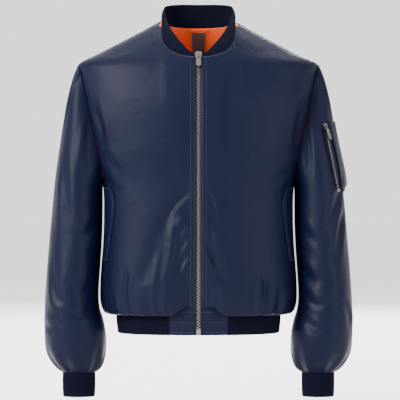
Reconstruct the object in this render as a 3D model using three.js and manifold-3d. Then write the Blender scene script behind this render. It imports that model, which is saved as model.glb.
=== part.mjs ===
// A zipped bomber jacket, filled out as if it were worn, with nobody in it.
// Millimetres, +Z up. The front faces -Y and the wearer's left arm is on +X.
// The origin lies between the two side neck points, where the wearer's shoulders hold the jacket up.
import * as THREE from 'three';
import { mergeVertices } from 'three/addons/utils/BufferGeometryUtils.js';
import Module from 'manifold-3d';

const wasm = await Module();
wasm.setup();

// Driving dimensions

const SHELL_WALL = 4; // nylon shell, light padding and lining, quilted together
const RIB_WALL = 3;
const SEAM_GAP = 0.3;
const BAND_GAP = 0.55; // from a panel's edge to the knit band sewn to it, for the rib's corners
const ZIP_EDGE = 5.3; // from the centre line to the folded edge of each front
const HEM_BOTTOM_Z = -666;
const CUFF_TOP_Z = -750;
const CUFF_BOTTOM_Z = -801;
const RIB_DEPTH = 0.9;
const HEM_RIBS = 64;
const COLLAR_RIBS = 44;
const CUFF_RIBS = 18;
const NECK_COLUMNS = 8;
const SHOULDER_COLUMNS = 5;
const ARMHOLE_COLUMNS = 10;
const HEM_COLUMNS = NECK_COLUMNS + SHOULDER_COLUMNS + ARMHOLE_COLUMNS;
const TAB_COLUMNS = 6; // of the hem's columns, those that the woven tab covers
const UPPER_ROWS = 13;

const NAVY = 0x242d4e;
const NAVY_RIB = 0x171b35;
const ORANGE = 0xe3541c;
const CHARCOAL = 0x38343a;
const METAL = 0x8d8880;

// Level rings of the body. h runs up the cloth from the hem seam, z is the height of that ring:
// the shell blouses over the hem, so the lowest rings turn under and up again.
const BODY_RINGS = [
  { h: -644, z: -611, side: 175.5, front: 122, back: 122, square: 2.3 },
  { h: -634, z: -619, side: 181, front: 128, back: 129, square: 2.3 },
  { h: -624, z: -626, side: 191, front: 137, back: 138, square: 2.35 },
  { h: -614, z: -623, side: 201, front: 145, back: 146, square: 2.4 },
  { h: -604, z: -612, side: 207, front: 150, back: 151, square: 2.4 },
  { h: -590, z: -596, side: 210, front: 153, back: 154, square: 2.4 },
  { h: -565, z: -567, side: 210, front: 154, back: 155, square: 2.4 },
  { h: -530, z: -530, side: 208, front: 154, back: 153, square: 2.4 },
  { h: -480, z: -480, side: 204, front: 153, back: 151, square: 2.4 },
  { h: -420, z: -420, side: 202, front: 152, back: 150, square: 2.4 },
  { h: -349, z: -349, side: 204.5, front: 150, back: 151, square: 2.4 },
  { h: -300, z: -300, side: 219, front: 149, back: 153, square: 2.4 },
  { h: -262, z: -262, side: 227, front: 147, back: 153, square: 2.4 },
  { h: -174, z: -174, side: 243, front: 137, back: 146, square: 2.35 },
  { h: -114, z: -114, side: 254, front: 118, back: 131, square: 2.3 },
  { h: -94, z: -94, side: 256.5, front: 110, back: 123, square: 2.25 },
  { h: -70, z: -70, side: 211, front: 99, back: 111, square: 2.2 },
  { h: -38, z: -38, side: 149, front: 83, back: 91, square: 2.2 },
  { h: -15, z: -15, side: 106, front: 68, back: 72, square: 2.2 },
  { h: 0, z: 0, side: 79, front: 58, back: 58, square: 2.2 },
];

// The fronts run straight down to the hem beside the zip, with no blousing.
const ZIP_LINE = [
  { h: -644, z: -611, front: 129 },
  { h: -634, z: -606, front: 131 },
  { h: -624, z: -601, front: 133 },
  { h: -614, z: -596, front: 135 },
  { h: -604, z: -590, front: 137.5 },
  { h: -590, z: -581, front: 140 },
  { h: -565, z: -563, front: 145 },
  { h: -530, z: -530, front: 151 },
  { h: -480, z: -480, front: 153 },
];
const ZIP_STRAIGHT_TO = 8;
const BLOUSED_FROM = 62;

// Seam between body and sleeve, from the underarm to the shoulder tip, seen from the front.
const ARMHOLE = [
  { z: -349, x: 204.5 },
  { z: -337, x: 204 },
  { z: -294, x: 208.5 },
  { z: -262, x: 215 },
  { z: -174, x: 236.5 },
  { z: -114, x: 250 },
  { z: -94, x: 256.5 },
];

// Neck seam from the zip to the side neck, and from the side neck to the centre back.
const FRONT_NECK = [
  { x: 5.3, z: -84 },
  { x: 26, z: -82 },
  { x: 45, z: -77 },
  { x: 60, z: -69 },
  { x: 70, z: -58 },
  { x: 76, z: -44 },
  { x: 79, z: -26 },
  { x: 80, z: -12 },
  { x: 79, z: 0 },
];
const BACK_NECK = [
  { x: 79, z: 0 },
  { x: 72, z: -3 },
  { x: 56, z: -6 },
  { x: 30, z: -8 },
  { x: 0, z: -8.5 },
];

// Free edge of the collar, from the zip round to the centre back.
const COLLAR_EDGE = [
  { x: 5.6, y: -101, z: -75 },
  { x: 15, y: -100.5, z: -74.5 },
  { x: 24, y: -97, z: -67 },
  { x: 40, y: -87, z: -49 },
  { x: 55, y: -68, z: -28 },
  { x: 65, y: -47, z: -9 },
  { x: 72, y: -22, z: 12 },
  { x: 75, y: 5, z: 26 },
  { x: 72, y: 29, z: 33 },
  { x: 59, y: 49, z: 37 },
  { x: 35, y: 63, z: 39 },
  { x: 0, y: 68, z: 39 },
];

// Sections of a sleeve from the armhole to the cuff: the point nearest the body, the point
// farthest from it, half the front-to-back depth and where the middle of that depth lies.
const SLEEVE_SECTIONS = [
  { row: 0, innerX: 204.5, innerZ: -349, outerX: 256.5, outerZ: -94, depth: 62, y: 0, square: 2.2 },
  { row: 1, innerX: 204.6, innerZ: -352, outerX: 268, outerZ: -122, depth: 68, y: 0, square: 2.2 },
  { row: 2, innerX: 204.6, innerZ: -356, outerX: 280, outerZ: -168, depth: 74, y: -1, square: 2.15 },
  { row: 3, innerX: 204.6, innerZ: -363, outerX: 290, outerZ: -225, depth: 78, y: -2, square: 2.1 },
  { row: 4, innerX: 204.6, innerZ: -376, outerX: 299, outerZ: -285, depth: 80, y: -3, square: 2.1 },
  { row: 5, innerX: 204.7, innerZ: -399, outerX: 307, outerZ: -345, depth: 81, y: -4, square: 2.1 },
  { row: 6, innerX: 205, innerZ: -432, outerX: 312.5, outerZ: -405, depth: 81, y: -5, square: 2.1 },
  { row: 7, innerX: 207, innerZ: -482, outerX: 318, outerZ: -466, depth: 80, y: -7, square: 2.1 },
  { row: 8, innerX: 210.5, innerZ: -535, outerX: 323, outerZ: -527, depth: 79, y: -9, square: 2.1 },
  { row: 9, innerX: 213, innerZ: -580, outerX: 326.5, outerZ: -580, depth: 78, y: -11, square: 2.1 },
  { row: 10, innerX: 211, innerZ: -612, outerX: 328, outerZ: -616, depth: 77, y: -13, square: 2.1 },
  { row: 11, innerX: 202, innerZ: -642, outerX: 328.5, outerZ: -648, depth: 76, y: -14, square: 2.1 },
  { row: 12, innerX: 197, innerZ: -674, outerX: 327.5, outerZ: -681, depth: 74, y: -15, square: 2.1 },
  { row: 13, innerX: 197.5, innerZ: -700, outerX: 324, outerZ: -704, depth: 69, y: -16, square: 2.1 },
  { row: 14, innerX: 201, innerZ: -721, outerX: 315, outerZ: -723, depth: 60, y: -17, square: 2.1 },
  { row: 15, innerX: 207, innerZ: -736, outerX: 304, outerZ: -737, depth: 49, y: -18, square: 2.1 },
  { row: 16, innerX: 213.5, innerZ: -745, outerX: 295.5, outerZ: -745, depth: 39, y: -19, square: 2.1 },
  { row: 17, innerX: 218.5, innerZ: -750, outerX: 290.5, outerZ: -750, depth: 32, y: -20, square: 2.1 },
];
const ARMHOLE_FADES_BY = 4.5; // sections over which the sleeve loses the armhole's own outline
const SLEEVE_ROWS = 18;

// Troughs between the gathers at the hem, by their place round the body in degrees from the
// centre front, how deep and wide they are and how far up the cloth they reach.
const GATHERS = [
  { side: 1, at: 15, deep: 3, wide: 3.4, reach: 60 },
  { side: 1, at: 27, deep: 5, wide: 3.4, reach: 75 },
  { side: 1, at: 37, deep: 3, wide: 3.2, reach: 70 },
  { side: 1, at: 47, deep: 6, wide: 3.4, reach: 110 },
  { side: 1, at: 60, deep: 4, wide: 4, reach: 60 },
  { side: 1, at: 75, deep: 3, wide: 4, reach: 50 },
  { side: -1, at: 18, deep: 3, wide: 3.4, reach: 90 },
  { side: -1, at: 30, deep: 5, wide: 3.4, reach: 50 },
  { side: -1, at: 38, deep: 4, wide: 3.2, reach: 45 },
  { side: -1, at: 53, deep: 6, wide: 3.6, reach: 70 },
  { side: -1, at: 65, deep: 3, wide: 4, reach: 60 },
  { side: -1, at: 78, deep: 3, wide: 4, reach: 50 },
];
const GATHERS_TOP = -606; // above this the gathers fade, over the reach of each
const GATHERS_FOOT = { sewn: -646, full: -616 }; // the seam holds the cloth flat at its foot
const BACK_GATHERS = { from: 98, to: 180, wide: 3.2, reach: 46, reachPerDepth: 12 };
const BACK_GATHER_DEPTHS = [5, 3, 6, 4, 5, 3, 6, 4];

// The largest folds of the fronts, as lines seen from the front. Deep is a trough, and a
// fold with a negative depth is a ridge.
const FRONT_FOLDS = [
  { side: -1, x0: 26, z0: -372, x1: 66, z1: -420, wide: 13, deep: 4 },
  { side: -1, x0: 44, z0: -436, x1: 88, z1: -560, wide: 16, deep: -4 },
  { side: -1, x0: 68, z0: -436, x1: 112, z1: -540, wide: 18, deep: 3 },
  { side: 1, x0: 18, z0: -462, x1: 47, z1: -545, wide: 13, deep: 5 },
  { side: 1, x0: 18, z0: -400, x1: 38, z1: -440, wide: 12, deep: 3 },
];
const SLEEVE_FOLDS = [
  { side: 1, s: 0.36, row: 6.4, along: 1.6, round: 0.05, deep: 4 },
  { side: 1, s: 0.2, row: 10.6, along: 0.8, round: 0.08, deep: 4 },
  { side: 1, s: 0.72, row: 8.4, along: 1.4, round: 0.06, deep: 4 },
  { side: -1, s: 0.14, row: 9.6, along: 0.9, round: 0.08, deep: 4 },
  { side: -1, s: 0.3, row: 7.2, along: 1.4, round: 0.06, deep: 3 },
  { side: -1, s: 0.74, row: 8.8, along: 1.2, round: 0.06, deep: 4 },
];
// Gathers round the sleeve above its cuff: the sections over which they rise and fade.
const CUFF_GATHERS = { count: 10, deep: 3, from: 11.5, full: 15, ease: 15.6, sewn: 17 };

// Curves and surfaces

const point = (x, y, z) => new THREE.Vector3(x, y, z);
const radians = THREE.MathUtils.degToRad;
const lerp = THREE.MathUtils.lerp;
const smooth = THREE.MathUtils.smoothstep;
const bell = (distance) => Math.exp(-distance * distance);

// Smooth curve through the rows of a table, read at a value of its key column.
function track(rows, key) {
  const names = Object.keys(rows[0]).filter((name) => name !== key);
  const slope = (name, i) => {
    const before = rows[Math.max(i - 1, 0)];
    const after = rows[Math.min(i + 1, rows.length - 1)];
    return (after[name] - before[name]) / (after[key] - before[key]);
  };
  return (at) => {
    let i = 0;
    while (i < rows.length - 2 && at > rows[i + 1][key]) i += 1;
    const step = rows[i + 1][key] - rows[i][key];
    const t = THREE.MathUtils.clamp((at - rows[i][key]) / step, 0, 1);
    const value = { [key]: at };
    for (const name of names) {
      const [from, to] = [rows[i][name], rows[i + 1][name]];
      const [leave, arrive] = [slope(name, i) * step, slope(name, i + 1) * step];
      const bend = 3 * (to - from) - 2 * leave - arrive;
      value[name] = from + t * (leave + t * (bend + t * (leave + arrive - 2 * (to - from))));
    }
    return value;
  };
}

// Points spread evenly along a line of places, each place with its position in space.
function spread(places, count) {
  const lengths = [0];
  for (let i = 1; i < places.length; i += 1) {
    lengths.push(lengths[i - 1] + places[i].position.distanceTo(places[i - 1].position));
  }
  const result = [];
  for (let k = 0; k <= count; k += 1) {
    const target = (lengths.at(-1) * k) / count;
    let i = 1;
    while (i < lengths.length - 1 && lengths[i] < target) i += 1;
    const t = (target - lengths[i - 1]) / (lengths[i] - lengths[i - 1] || 1);
    const place = { position: places[i - 1].position.clone().lerp(places[i].position, t) };
    for (const name of Object.keys(places[i]).filter((key) => key !== 'position')) {
      place[name] = lerp(places[i - 1][name], places[i][name], t);
    }
    result.push(place);
  }
  return result;
}

// Reads a line of places at fractions of its length, without cutting its corners: a position,
// or the direction away from the wall that a band is sewn to.
function lineReader(places, what = 'position') {
  const lengths = [0];
  for (let i = 1; i < places.length; i += 1) {
    lengths.push(lengths[i - 1] + places[i].position.distanceTo(places[i - 1].position));
  }
  return (fraction) => {
    const target = fraction * lengths.at(-1);
    let i = 1;
    while (i < lengths.length - 1 && lengths[i] < target) i += 1;
    const t = (target - lengths[i - 1]) / (lengths[i] - lengths[i - 1]);
    return places[i - 1][what].clone().lerp(places[i][what], t);
  };
}

const ringTrack = track(BODY_RINGS, 'h');
const zipTrack = track(ZIP_LINE, 'h');
const armholeTrack = track(ARMHOLE, 'z');

function superellipse(angle, halfWidth, halfDepth, square) {
  const across = Math.abs(Math.sin(angle) / halfWidth) ** square;
  return (across + Math.abs(Math.cos(angle) / halfDepth) ** square) ** (-1 / square);
}

// Smooth surface of the body, with no folds. The angle is 0 at the centre front.
function bodyPoint(angle, h) {
  const ring = ringTrack(h);
  const faces = Math.cos(angle) > 0;
  const radius = superellipse(angle, ring.side, faces ? ring.front : ring.back, ring.square);
  const x = radius * Math.sin(angle);
  if (!faces || h > ZIP_LINE.at(-1).h) return point(x, -radius * Math.cos(angle), ring.z);
  const zip = zipTrack(h);
  const bloused = smooth(Math.abs(x), ZIP_STRAIGHT_TO, BLOUSED_FROM);
  const depth = lerp(zip.front, ring.front, bloused);
  const y = superellipse(angle, ring.side, ring.front, ring.square) * Math.cos(angle);
  return point(x, (-y * depth) / ring.front, lerp(zip.z, ring.z, bloused));
}

function angleAt(x, h, back) {
  const turned = (angle) => (back ? Math.PI - angle : angle);
  let [low, high] = [0, Math.PI / 2];
  for (let i = 0; i < 36; i += 1) {
    const middle = (low + high) / 2;
    if (bodyPoint(turned(middle), h).x < x) low = middle;
    else high = middle;
  }
  return turned(low);
}

// How far the cloth lies inside its smooth surface, in troughs, or outside it, in ridges.
function bodyFold(side, angle, h, smoothPoint) {
  let deep = 0;
  const rise = smooth(h, GATHERS_FOOT.sewn, GATHERS_FOOT.full);
  const degrees = THREE.MathUtils.radToDeg(angle);
  for (const gather of GATHERS.filter((row) => row.side === side)) {
    const fade = 1 - smooth(h, GATHERS_TOP, GATHERS_TOP + gather.reach);
    deep += gather.deep * rise * fade * bell((degrees - gather.at) / gather.wide);
  }
  const { from, to, wide, reach, reachPerDepth } = BACK_GATHERS;
  const apart = (to - from) / BACK_GATHER_DEPTHS.length;
  BACK_GATHER_DEPTHS.forEach((_, i) => {
    const at = from + apart * (i + 0.5 + 0.25 * Math.sin(5 * i + side));
    const gatherDepth = BACK_GATHER_DEPTHS[(i + side + 1) % BACK_GATHER_DEPTHS.length];
    const fade = 1 - smooth(h, GATHERS_TOP, GATHERS_TOP + reach + reachPerDepth * gatherDepth);
    deep += gatherDepth * rise * fade * bell((degrees - at) / wide);
  });
  if (degrees < 90) {
    for (const fold of FRONT_FOLDS.filter((row) => row.side === side)) {
      const [dx, dz] = [fold.x1 - fold.x0, fold.z1 - fold.z0];
      const [px, pz] = [smoothPoint.x - fold.x0, smoothPoint.z - fold.z0];
      const t = THREE.MathUtils.clamp((px * dx + pz * dz) / (dx * dx + dz * dz), 0, 1);
      const distance = Math.hypot(px - t * dx, pz - t * dz);
      deep += fold.deep * bell(distance / fold.wide);
    }
    deep *= smooth(smoothPoint.x, ZIP_EDGE, 16);
  }
  return deep;
}

function shellPoint(side, angle, h) {
  const place = bodyPoint(angle, h);
  const out = point(place.x / 200 ** 2, place.y / 150 ** 2, 0).normalize();
  return place.addScaledVector(out, -bodyFold(side, angle, h, place));
}

// Panels

// Normals of a grid of points, turned away from the middle that belongs to each point.
function gridNormals(grid, closed, middleOf) {
  const last = grid.length - 1;
  const normals = grid.map((line, r) => line.map((_, c) => {
    const columns = line.length;
    const left = closed ? (c + columns - 1) % columns : Math.max(c - 1, 0);
    const right = closed ? (c + 1) % columns : Math.min(c + 1, columns - 1);
    const across = line[right].clone().sub(line[left]);
    const along = grid[Math.min(r + 1, last)][c].clone().sub(grid[Math.max(r - 1, 0)][c]);
    return across.cross(along).normalize();
  }));
  let outward = 0;
  grid.forEach((line, r) => line.forEach((place, c) => {
    outward += place.clone().sub(middleOf(place, r)).dot(normals[r][c]);
  }));
  if (outward < 0) normals.flat().forEach((normal) => normal.negate());
  return normals;
}

const bodyMiddle = (place) => point(0, 0, place.z);

function makePanel(grid, wall, closed, middleOf) {
  const normals = gridNormals(grid, closed, middleOf);
  const inward = normals.map((line) => line.map((normal) => normal.clone().multiplyScalar(-wall)));
  const shift = grid.map((line) => line.map(() => point(0, 0, 0)));
  return { grid, normals, inward, shift, closed, wall };
}

// One closed body between an outer grid of points and an inner one.
function closedBody(outer, inner, closed) {
  const rows = outer.length;
  const columns = outer[0].length;
  const places = [...outer.flat(), ...inner.flat()];
  const at = (layer, r, c) => layer * rows * columns + r * columns + (c % columns);
  const faces = [];
  const span = (a, b) => places[a].distanceTo(places[b]);
  const split = (a, b, c, d) => faces.push([a, b, c], [a, c, d]);
  const quad = (a, b, c, d) => (span(a, c) < span(b, d) ? split(a, b, c, d) : split(b, c, d, a));
  const spans = closed ? columns : columns - 1;
  // Each four-sided facet is split along its shorter diagonal, the same way on both faces.
  const rises = (r, c) => (
    span(at(0, r, c), at(0, r + 1, c + 1)) <= span(at(0, r, c + 1), at(0, r + 1, c)) + 1e-4);
  for (let c = 0; c < spans; c += 1) {
    for (let r = 0; r < rows - 1; r += 1) {
      for (const layer of [0, 1]) {
        const corners = [at(layer, r, c), at(layer, r, c + 1), at(layer, r + 1, c + 1), at(layer, r + 1, c)];
        if (!rises(r, c)) corners.unshift(corners.pop());
        if (layer === 1) corners.splice(1, 3, corners[3], corners[2], corners[1]);
        split(...corners);
      }
    }
    quad(at(0, 0, c), at(1, 0, c), at(1, 0, c + 1), at(0, 0, c + 1));
    quad(at(0, rows - 1, c), at(0, rows - 1, c + 1), at(1, rows - 1, c + 1), at(1, rows - 1, c));
  }
  for (let r = 0; r < rows - 1 && !closed; r += 1) {
    const end = columns - 1;
    quad(at(0, r, 0), at(0, r + 1, 0), at(1, r + 1, 0), at(1, r, 0));
    quad(at(0, r, end), at(1, r, end), at(1, r + 1, end), at(0, r + 1, end));
  }
  return orientedGeometry(places, faces);
}

function orientedGeometry(places, faces) {
  let volume = 0;
  for (const [a, b, c] of faces) volume += places[a].dot(places[b].clone().cross(places[c]));
  const wound = volume > 0 ? faces : faces.map(([a, b, c]) => [a, c, b]);
  const geometry = new THREE.BufferGeometry().setFromPoints(places);
  geometry.setIndex(wound.flat());
  geometry.computeVertexNormals();
  return geometry;
}

function panelBody(panel) {
  const outer = panel.grid.map((line, r) => line.map((place, c) => place.clone().add(panel.shift[r][c])));
  const inner = outer.map((line, r) => line.map((place, c) => place.clone().add(panel.inward[r][c])));
  return closedBody(outer, inner, panel.closed);
}

const SAME_WAY = 0.1; // below this, the two sides of a seam face almost the same way

// Mitres two walls along their seam and draws them apart by the seam's gap. Each stitch of the
// seam names the places that meet there: a on one side, b on the other.
function sew(stitches, ring) {
  const directionInto = ({ panel, row, column }) => {
    const next = row === 0 ? 1 : row - 1;
    return panel.grid[next][column].clone().sub(panel.grid[row][column]).normalize();
  };
  const placeOf = ({ panel, row, column }) => panel.grid[row][column];
  const normalOf = ({ panel, row, column }) => panel.normals[row][column];
  let lastApart = null;
  const results = stitches.map(({ a, b }, k) => {
    const count = stitches.length;
    const before = stitches[ring ? (k + count - 1) % count : Math.max(k - 1, 0)];
    const after = stitches[ring ? (k + 1) % count : Math.min(k + 1, count - 1)];
    const along = placeOf(after.a[0]).clone().sub(placeOf(before.a[0])).normalize();
    const [normalA, normalB] = [normalOf(a[0]), normalOf(b[0])];
    const [intoA, intoB] = [a[0].into ?? directionInto(a[0]), b[0].into ?? directionInto(b[0])];
    const folded = Math.max(0, -normalA.dot(normalB));
    const out = normalA.clone().add(normalB);
    out.addScaledVector(intoA.clone().add(intoB), folded).normalize();
    const reach = a[0].panel.wall / Math.max(0.75, out.dot(normalA));
    const apart = along.cross(out).normalize();
    const toB = intoB.clone().sub(intoA).add(normalA).sub(normalB);
    // Where the two sides face almost the same way, the gap opens as at the stitch before.
    const towards = lastApart && Math.abs(apart.dot(toB)) < SAME_WAY ? lastApart : toB;
    if (apart.dot(towards) < 0) apart.negate();
    lastApart = apart;
    return { out, reach, apart };
  });
  stitches.forEach(({ a, b }, k) => {
    const { out, reach, apart } = results[k];
    for (const [side, sign] of [[a, -0.5], [b, 0.5]]) {
      for (const { panel, row, column } of side) {
        panel.inward[row][column] = out.clone().multiplyScalar(-reach);
        panel.normals[row][column] = out.clone();
        panel.shift[row][column].addScaledVector(apart, sign * SEAM_GAP);
      }
    }
  });
}

const FOLD_ROWS = [-644, -634, -624, -614, -604];
const UPPER_FROM = -590;
const UNDERARM_H = -349;
const COLUMN_SWEEP = 1.8; // how late a column of the grid bends out to the armhole

// The upper edge of a half panel: along the neck, the shoulder seam and the armhole.
function upperEdge(back) {
  const placeAt = (x, h) => {
    const angle = angleAt(x, h, back);
    return { angle, h, position: bodyPoint(angle, h) };
  };
  const neckRows = back ? [...BACK_NECK].reverse() : FRONT_NECK;
  const neckLine = neckRows.map((row) => ({ x: row.x, h: row.z, position: point(row.x, 0, row.z) }));
  const neck = spread(neckLine, 60).map((row) => placeAt(row.x, row.h));
  const shoulder = [];
  const armhole = [];
  const [tip, underarm] = [ARMHOLE.at(-1).z, ARMHOLE[0].z];
  for (let i = 0; i <= 60; i += 1) {
    const h = (tip * i) / 60;
    shoulder.push({ angle: Math.PI / 2, h, position: bodyPoint(Math.PI / 2, h) });
  }
  for (let i = 0; i <= 300; i += 1) {
    const h = lerp(tip, underarm, (1 - Math.cos((Math.PI * i) / 300)) / 2);
    const ends = i === 0 || i === 300;
    const x = Math.min(armholeTrack(h).x, ringTrack(h).side);
    const angle = ends ? Math.PI / 2 : angleAt(x, h, back);
    armhole.push({ angle, h, position: bodyPoint(angle, h) });
  }
  return [
    ...spread(neck, NECK_COLUMNS).slice(0, -1),
    ...spread(shoulder, SHOULDER_COLUMNS).slice(0, -1),
    ...spread(armhole, ARMHOLE_COLUMNS),
  ];
}

// Places along a level ring from the centre to the side seam, evenly spaced.
function levelEdge(h, back, fromX) {
  const start = angleAt(fromX, h, back);
  const places = [];
  for (let i = 0; i <= 200; i += 1) {
    const angle = lerp(start, Math.PI / 2, i / 200);
    places.push({ angle, position: bodyPoint(angle, h) });
  }
  return spread(places, HEM_COLUMNS);
}

// Half a panel, from the centre to the side seam, as columns that run up from the hem.
function halfPanel(side, back) {
  const fromX = back ? 0 : ZIP_EDGE;
  const top = upperEdge(back);
  const middle = levelEdge(UNDERARM_H, back, fromX);
  const hem = levelEdge(UPPER_FROM, back, fromX);
  const columns = top.map((end, c) => {
    const path = [];
    for (let i = 0; i <= 60; i += 1) {
      const h = lerp(UPPER_FROM, UNDERARM_H, i / 60);
      const angle = lerp(hem[c].angle, middle[c].angle, smooth(h, UPPER_FROM, UNDERARM_H));
      path.push({ angle, h, position: bodyPoint(angle, h) });
    }
    const startX = middle[c].position.x;
    const endX = end.position.x;
    for (let i = 1; i <= 120 && c < top.length - 1; i += 1) {
      const t = Math.sin((Math.PI * i) / 240);
      const h = lerp(UNDERARM_H, end.h, t);
      const angle = i === 120 ? end.angle : angleAt(lerp(startX, endX, t ** COLUMN_SWEEP), h, back);
      path.push({ angle, h, position: bodyPoint(angle, h) });
    }
    const folded = FOLD_ROWS.map((h) => ({ angle: c === 0 ? angleAt(fromX, h, back) : hem[c].angle, h }));
    return [...folded, ...spread(path, UPPER_ROWS)];
  });
  return columns[0].map((_, r) => columns.map((column) => {
    const place = shellPoint(side, column[r].angle, column[r].h);
    return point(place.x * side, place.y, place.z);
  }));
}

const SIDES = [
  { side: 1, name: 'left' },
  { side: -1, name: 'right' },
];
const last = HEM_COLUMNS;
const fronts = new Map(SIDES.map(({ side }) => [
  side, makePanel(halfPanel(side, false), SHELL_WALL, false, bodyMiddle)]));
// The folded edge beside the zip leans a little away from the teeth towards its back.
const EDGE_LEAN = 0.6;
for (const [side, front] of fronts) {
  for (const line of front.inward) line[0].setX(side * EDGE_LEAN).setLength(SHELL_WALL);
}
const backHalves = new Map(SIDES.map(({ side }) => [side, halfPanel(side, true)]));
const back = makePanel(
  backHalves.get(-1).map((line, r) => [...[...line].reverse(), ...backHalves.get(1)[r].slice(1)]),
  SHELL_WALL, false, bodyMiddle);
const topRow = back.grid.length - 1;
const backColumn = (side, c) => last + side * c;

// Sleeves

const sectionTrack = track(SLEEVE_SECTIONS, 'row');

// Half of a section's outline, from the point nearest the body over the front to the farthest.
function halfSection(row) {
  const section = sectionTrack(row);
  const inner = point(section.innerX, section.y, section.innerZ);
  const across = point(section.outerX, section.y, section.outerZ).sub(inner);
  const halfWidth = across.length() / 2;
  const centre = inner.clone().addScaledVector(across, 0.5);
  across.normalize();
  const turns = 90;
  const outline = [];
  for (let i = 0; i <= turns; i += 1) {
    const angle = (Math.PI * i) / turns;
    const radius = superellipse(angle, section.depth, halfWidth, section.square);
    const position = centre.clone().addScaledVector(across, -radius * Math.cos(angle));
    position.y -= radius * Math.sin(angle);
    outline.push({ position });
  }
  return { at: lineReader(outline), centre };
}

// A section's outline at a fraction of its length, from the point nearest the body, over the
// front to the point farthest from it, and back.
function sectionPoint(row, fraction) {
  const { at, centre } = halfSection(row);
  const whole = fraction - Math.floor(fraction);
  const position = at(whole <= 0.5 ? whole * 2 : (1 - whole) * 2);
  if (whole > 0.5) position.y = 2 * centre.y - position.y;
  return { position, centre };
}

function sleeveFold(side, fraction, row) {
  let deep = 0;
  for (const fold of SLEEVE_FOLDS.filter((entry) => entry.side === side)) {
    let round = Math.abs(fraction - fold.s);
    round = Math.min(round, 1 - round);
    deep += fold.deep * bell(round / fold.round) * bell((row - fold.row) / fold.along);
  }
  const { count, from, full, ease, sewn } = CUFF_GATHERS;
  const gathered = smooth(row, from, full) * (1 - smooth(row, ease, sewn));
  const wave = Math.sin(2 * Math.PI * (count * fraction + 0.12 * Math.sin(9 * fraction + side)));
  return deep + CUFF_GATHERS.deep * gathered * wave;
}

// The armhole as the sleeve meets it: the front seam up to the shoulder tip, then down the back.
function armholeRing(side) {
  const ring = [];
  const front = fronts.get(side);
  for (let k = 0; k <= ARMHOLE_COLUMNS; k += 1) {
    const place = { panel: front, row: topRow, column: last - k };
    const twin = { panel: back, row: topRow, column: backColumn(side, last - k) };
    if (k === 0 || k === ARMHOLE_COLUMNS) ring.push([place, twin]);
    else ring.push([place]);
  }
  for (let k = ARMHOLE_COLUMNS - 1; k > 0; k -= 1) {
    ring.push([{ panel: back, row: topRow, column: backColumn(side, last - k) }]);
  }
  return ring;
}

function sleevePoint(side, fraction, row, armholePlace) {
  const { position, centre } = sectionPoint(row, fraction);
  const out = position.clone().sub(centre).normalize();
  const fade = 1 - smooth(row, 0, ARMHOLE_FADES_BY);
  if (fade > 0) {
    const own = sectionPoint(0, fraction).position;
    position.add(armholePlace.clone().sub(own).multiplyScalar(fade));
  }
  return position.addScaledVector(out, -sleeveFold(side, fraction, row));
}

const mirrored = (place, side) => point(place.x * side, place.y, place.z);

function makeSleeve(side, ring) {
  const grid = [];
  for (let r = 0; r <= SLEEVE_ROWS; r += 1) {
    const row = (17 * r) / SLEEVE_ROWS;
    grid.push(ring.map(([entry], k) => {
      const armholePlace = mirrored(entry.panel.grid[entry.row][entry.column], side);
      return mirrored(sleevePoint(side, k / ring.length, row, armholePlace), side);
    }));
  }
  const middleOf = (place, r) => {
    const line = grid[r];
    return line.reduce((sum, p) => sum.add(p), point(0, 0, 0)).divideScalar(line.length);
  };
  return makePanel(grid, SHELL_WALL, true, middleOf);
}

const armholeRings = new Map(SIDES.map(({ side }) => [side, armholeRing(side)]));
const sleeves = new Map(SIDES.map(({ side }) => [side, makeSleeve(side, armholeRings.get(side))]));

// Side and shoulder seams first, then the armholes, so that all three panels agree at the corners.
for (const { side } of SIDES) {
  const front = fronts.get(side);
  const sideSeam = front.grid.map((_, row) => ({
    a: [{ panel: front, row, column: last, into: point(0, -1, 0) }],
    b: [{ panel: back, row, column: backColumn(side, last), into: point(0, 1, 0) }],
  }));
  sew(sideSeam, false);
  const shoulderSeam = [];
  for (let c = NECK_COLUMNS; c <= NECK_COLUMNS + SHOULDER_COLUMNS; c += 1) {
    shoulderSeam.push({
      a: [{ panel: front, row: topRow, column: c }],
      b: [{ panel: back, row: topRow, column: backColumn(side, c) }],
    });
  }
  sew(shoulderSeam, false);
  const sleeve = sleeves.get(side);
  sew(armholeRings.get(side).map((places, k) => ({
    a: places,
    b: [{ panel: sleeve, row: 0, column: k }],
  })), true);
}

// Rib knit bands

// The edge of a wall that a band is sewn to: the edge's own points, a seam's gap clear of its face.
function bandLine(stitches) {
  return stitches.map(({ panel, row, column }, k) => {
    const next = row === 0 ? 1 : row - 1;
    const before = stitches[Math.max(k - 1, 0)];
    const after = stitches[Math.min(k + 1, stitches.length - 1)];
    const edge = (stitch) => stitch.panel.grid[stitch.row][stitch.column];
    const along = edge(after).clone().sub(edge(before)).normalize();
    const away = along.cross(panel.inward[row][column]).normalize();
    const outOfPanel = panel.grid[row][column].clone().sub(panel.grid[next][column]);
    if (away.dot(outOfPanel) < 0) away.negate();
    const position = panel.grid[row][column].clone().addScaledVector(away, BAND_GAP);
    return { position, away };
  });
}

const FLAT_BY_ZIP = { from: 15, to: 60 }; // how far from the zip a band in front begins to bulge

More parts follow.
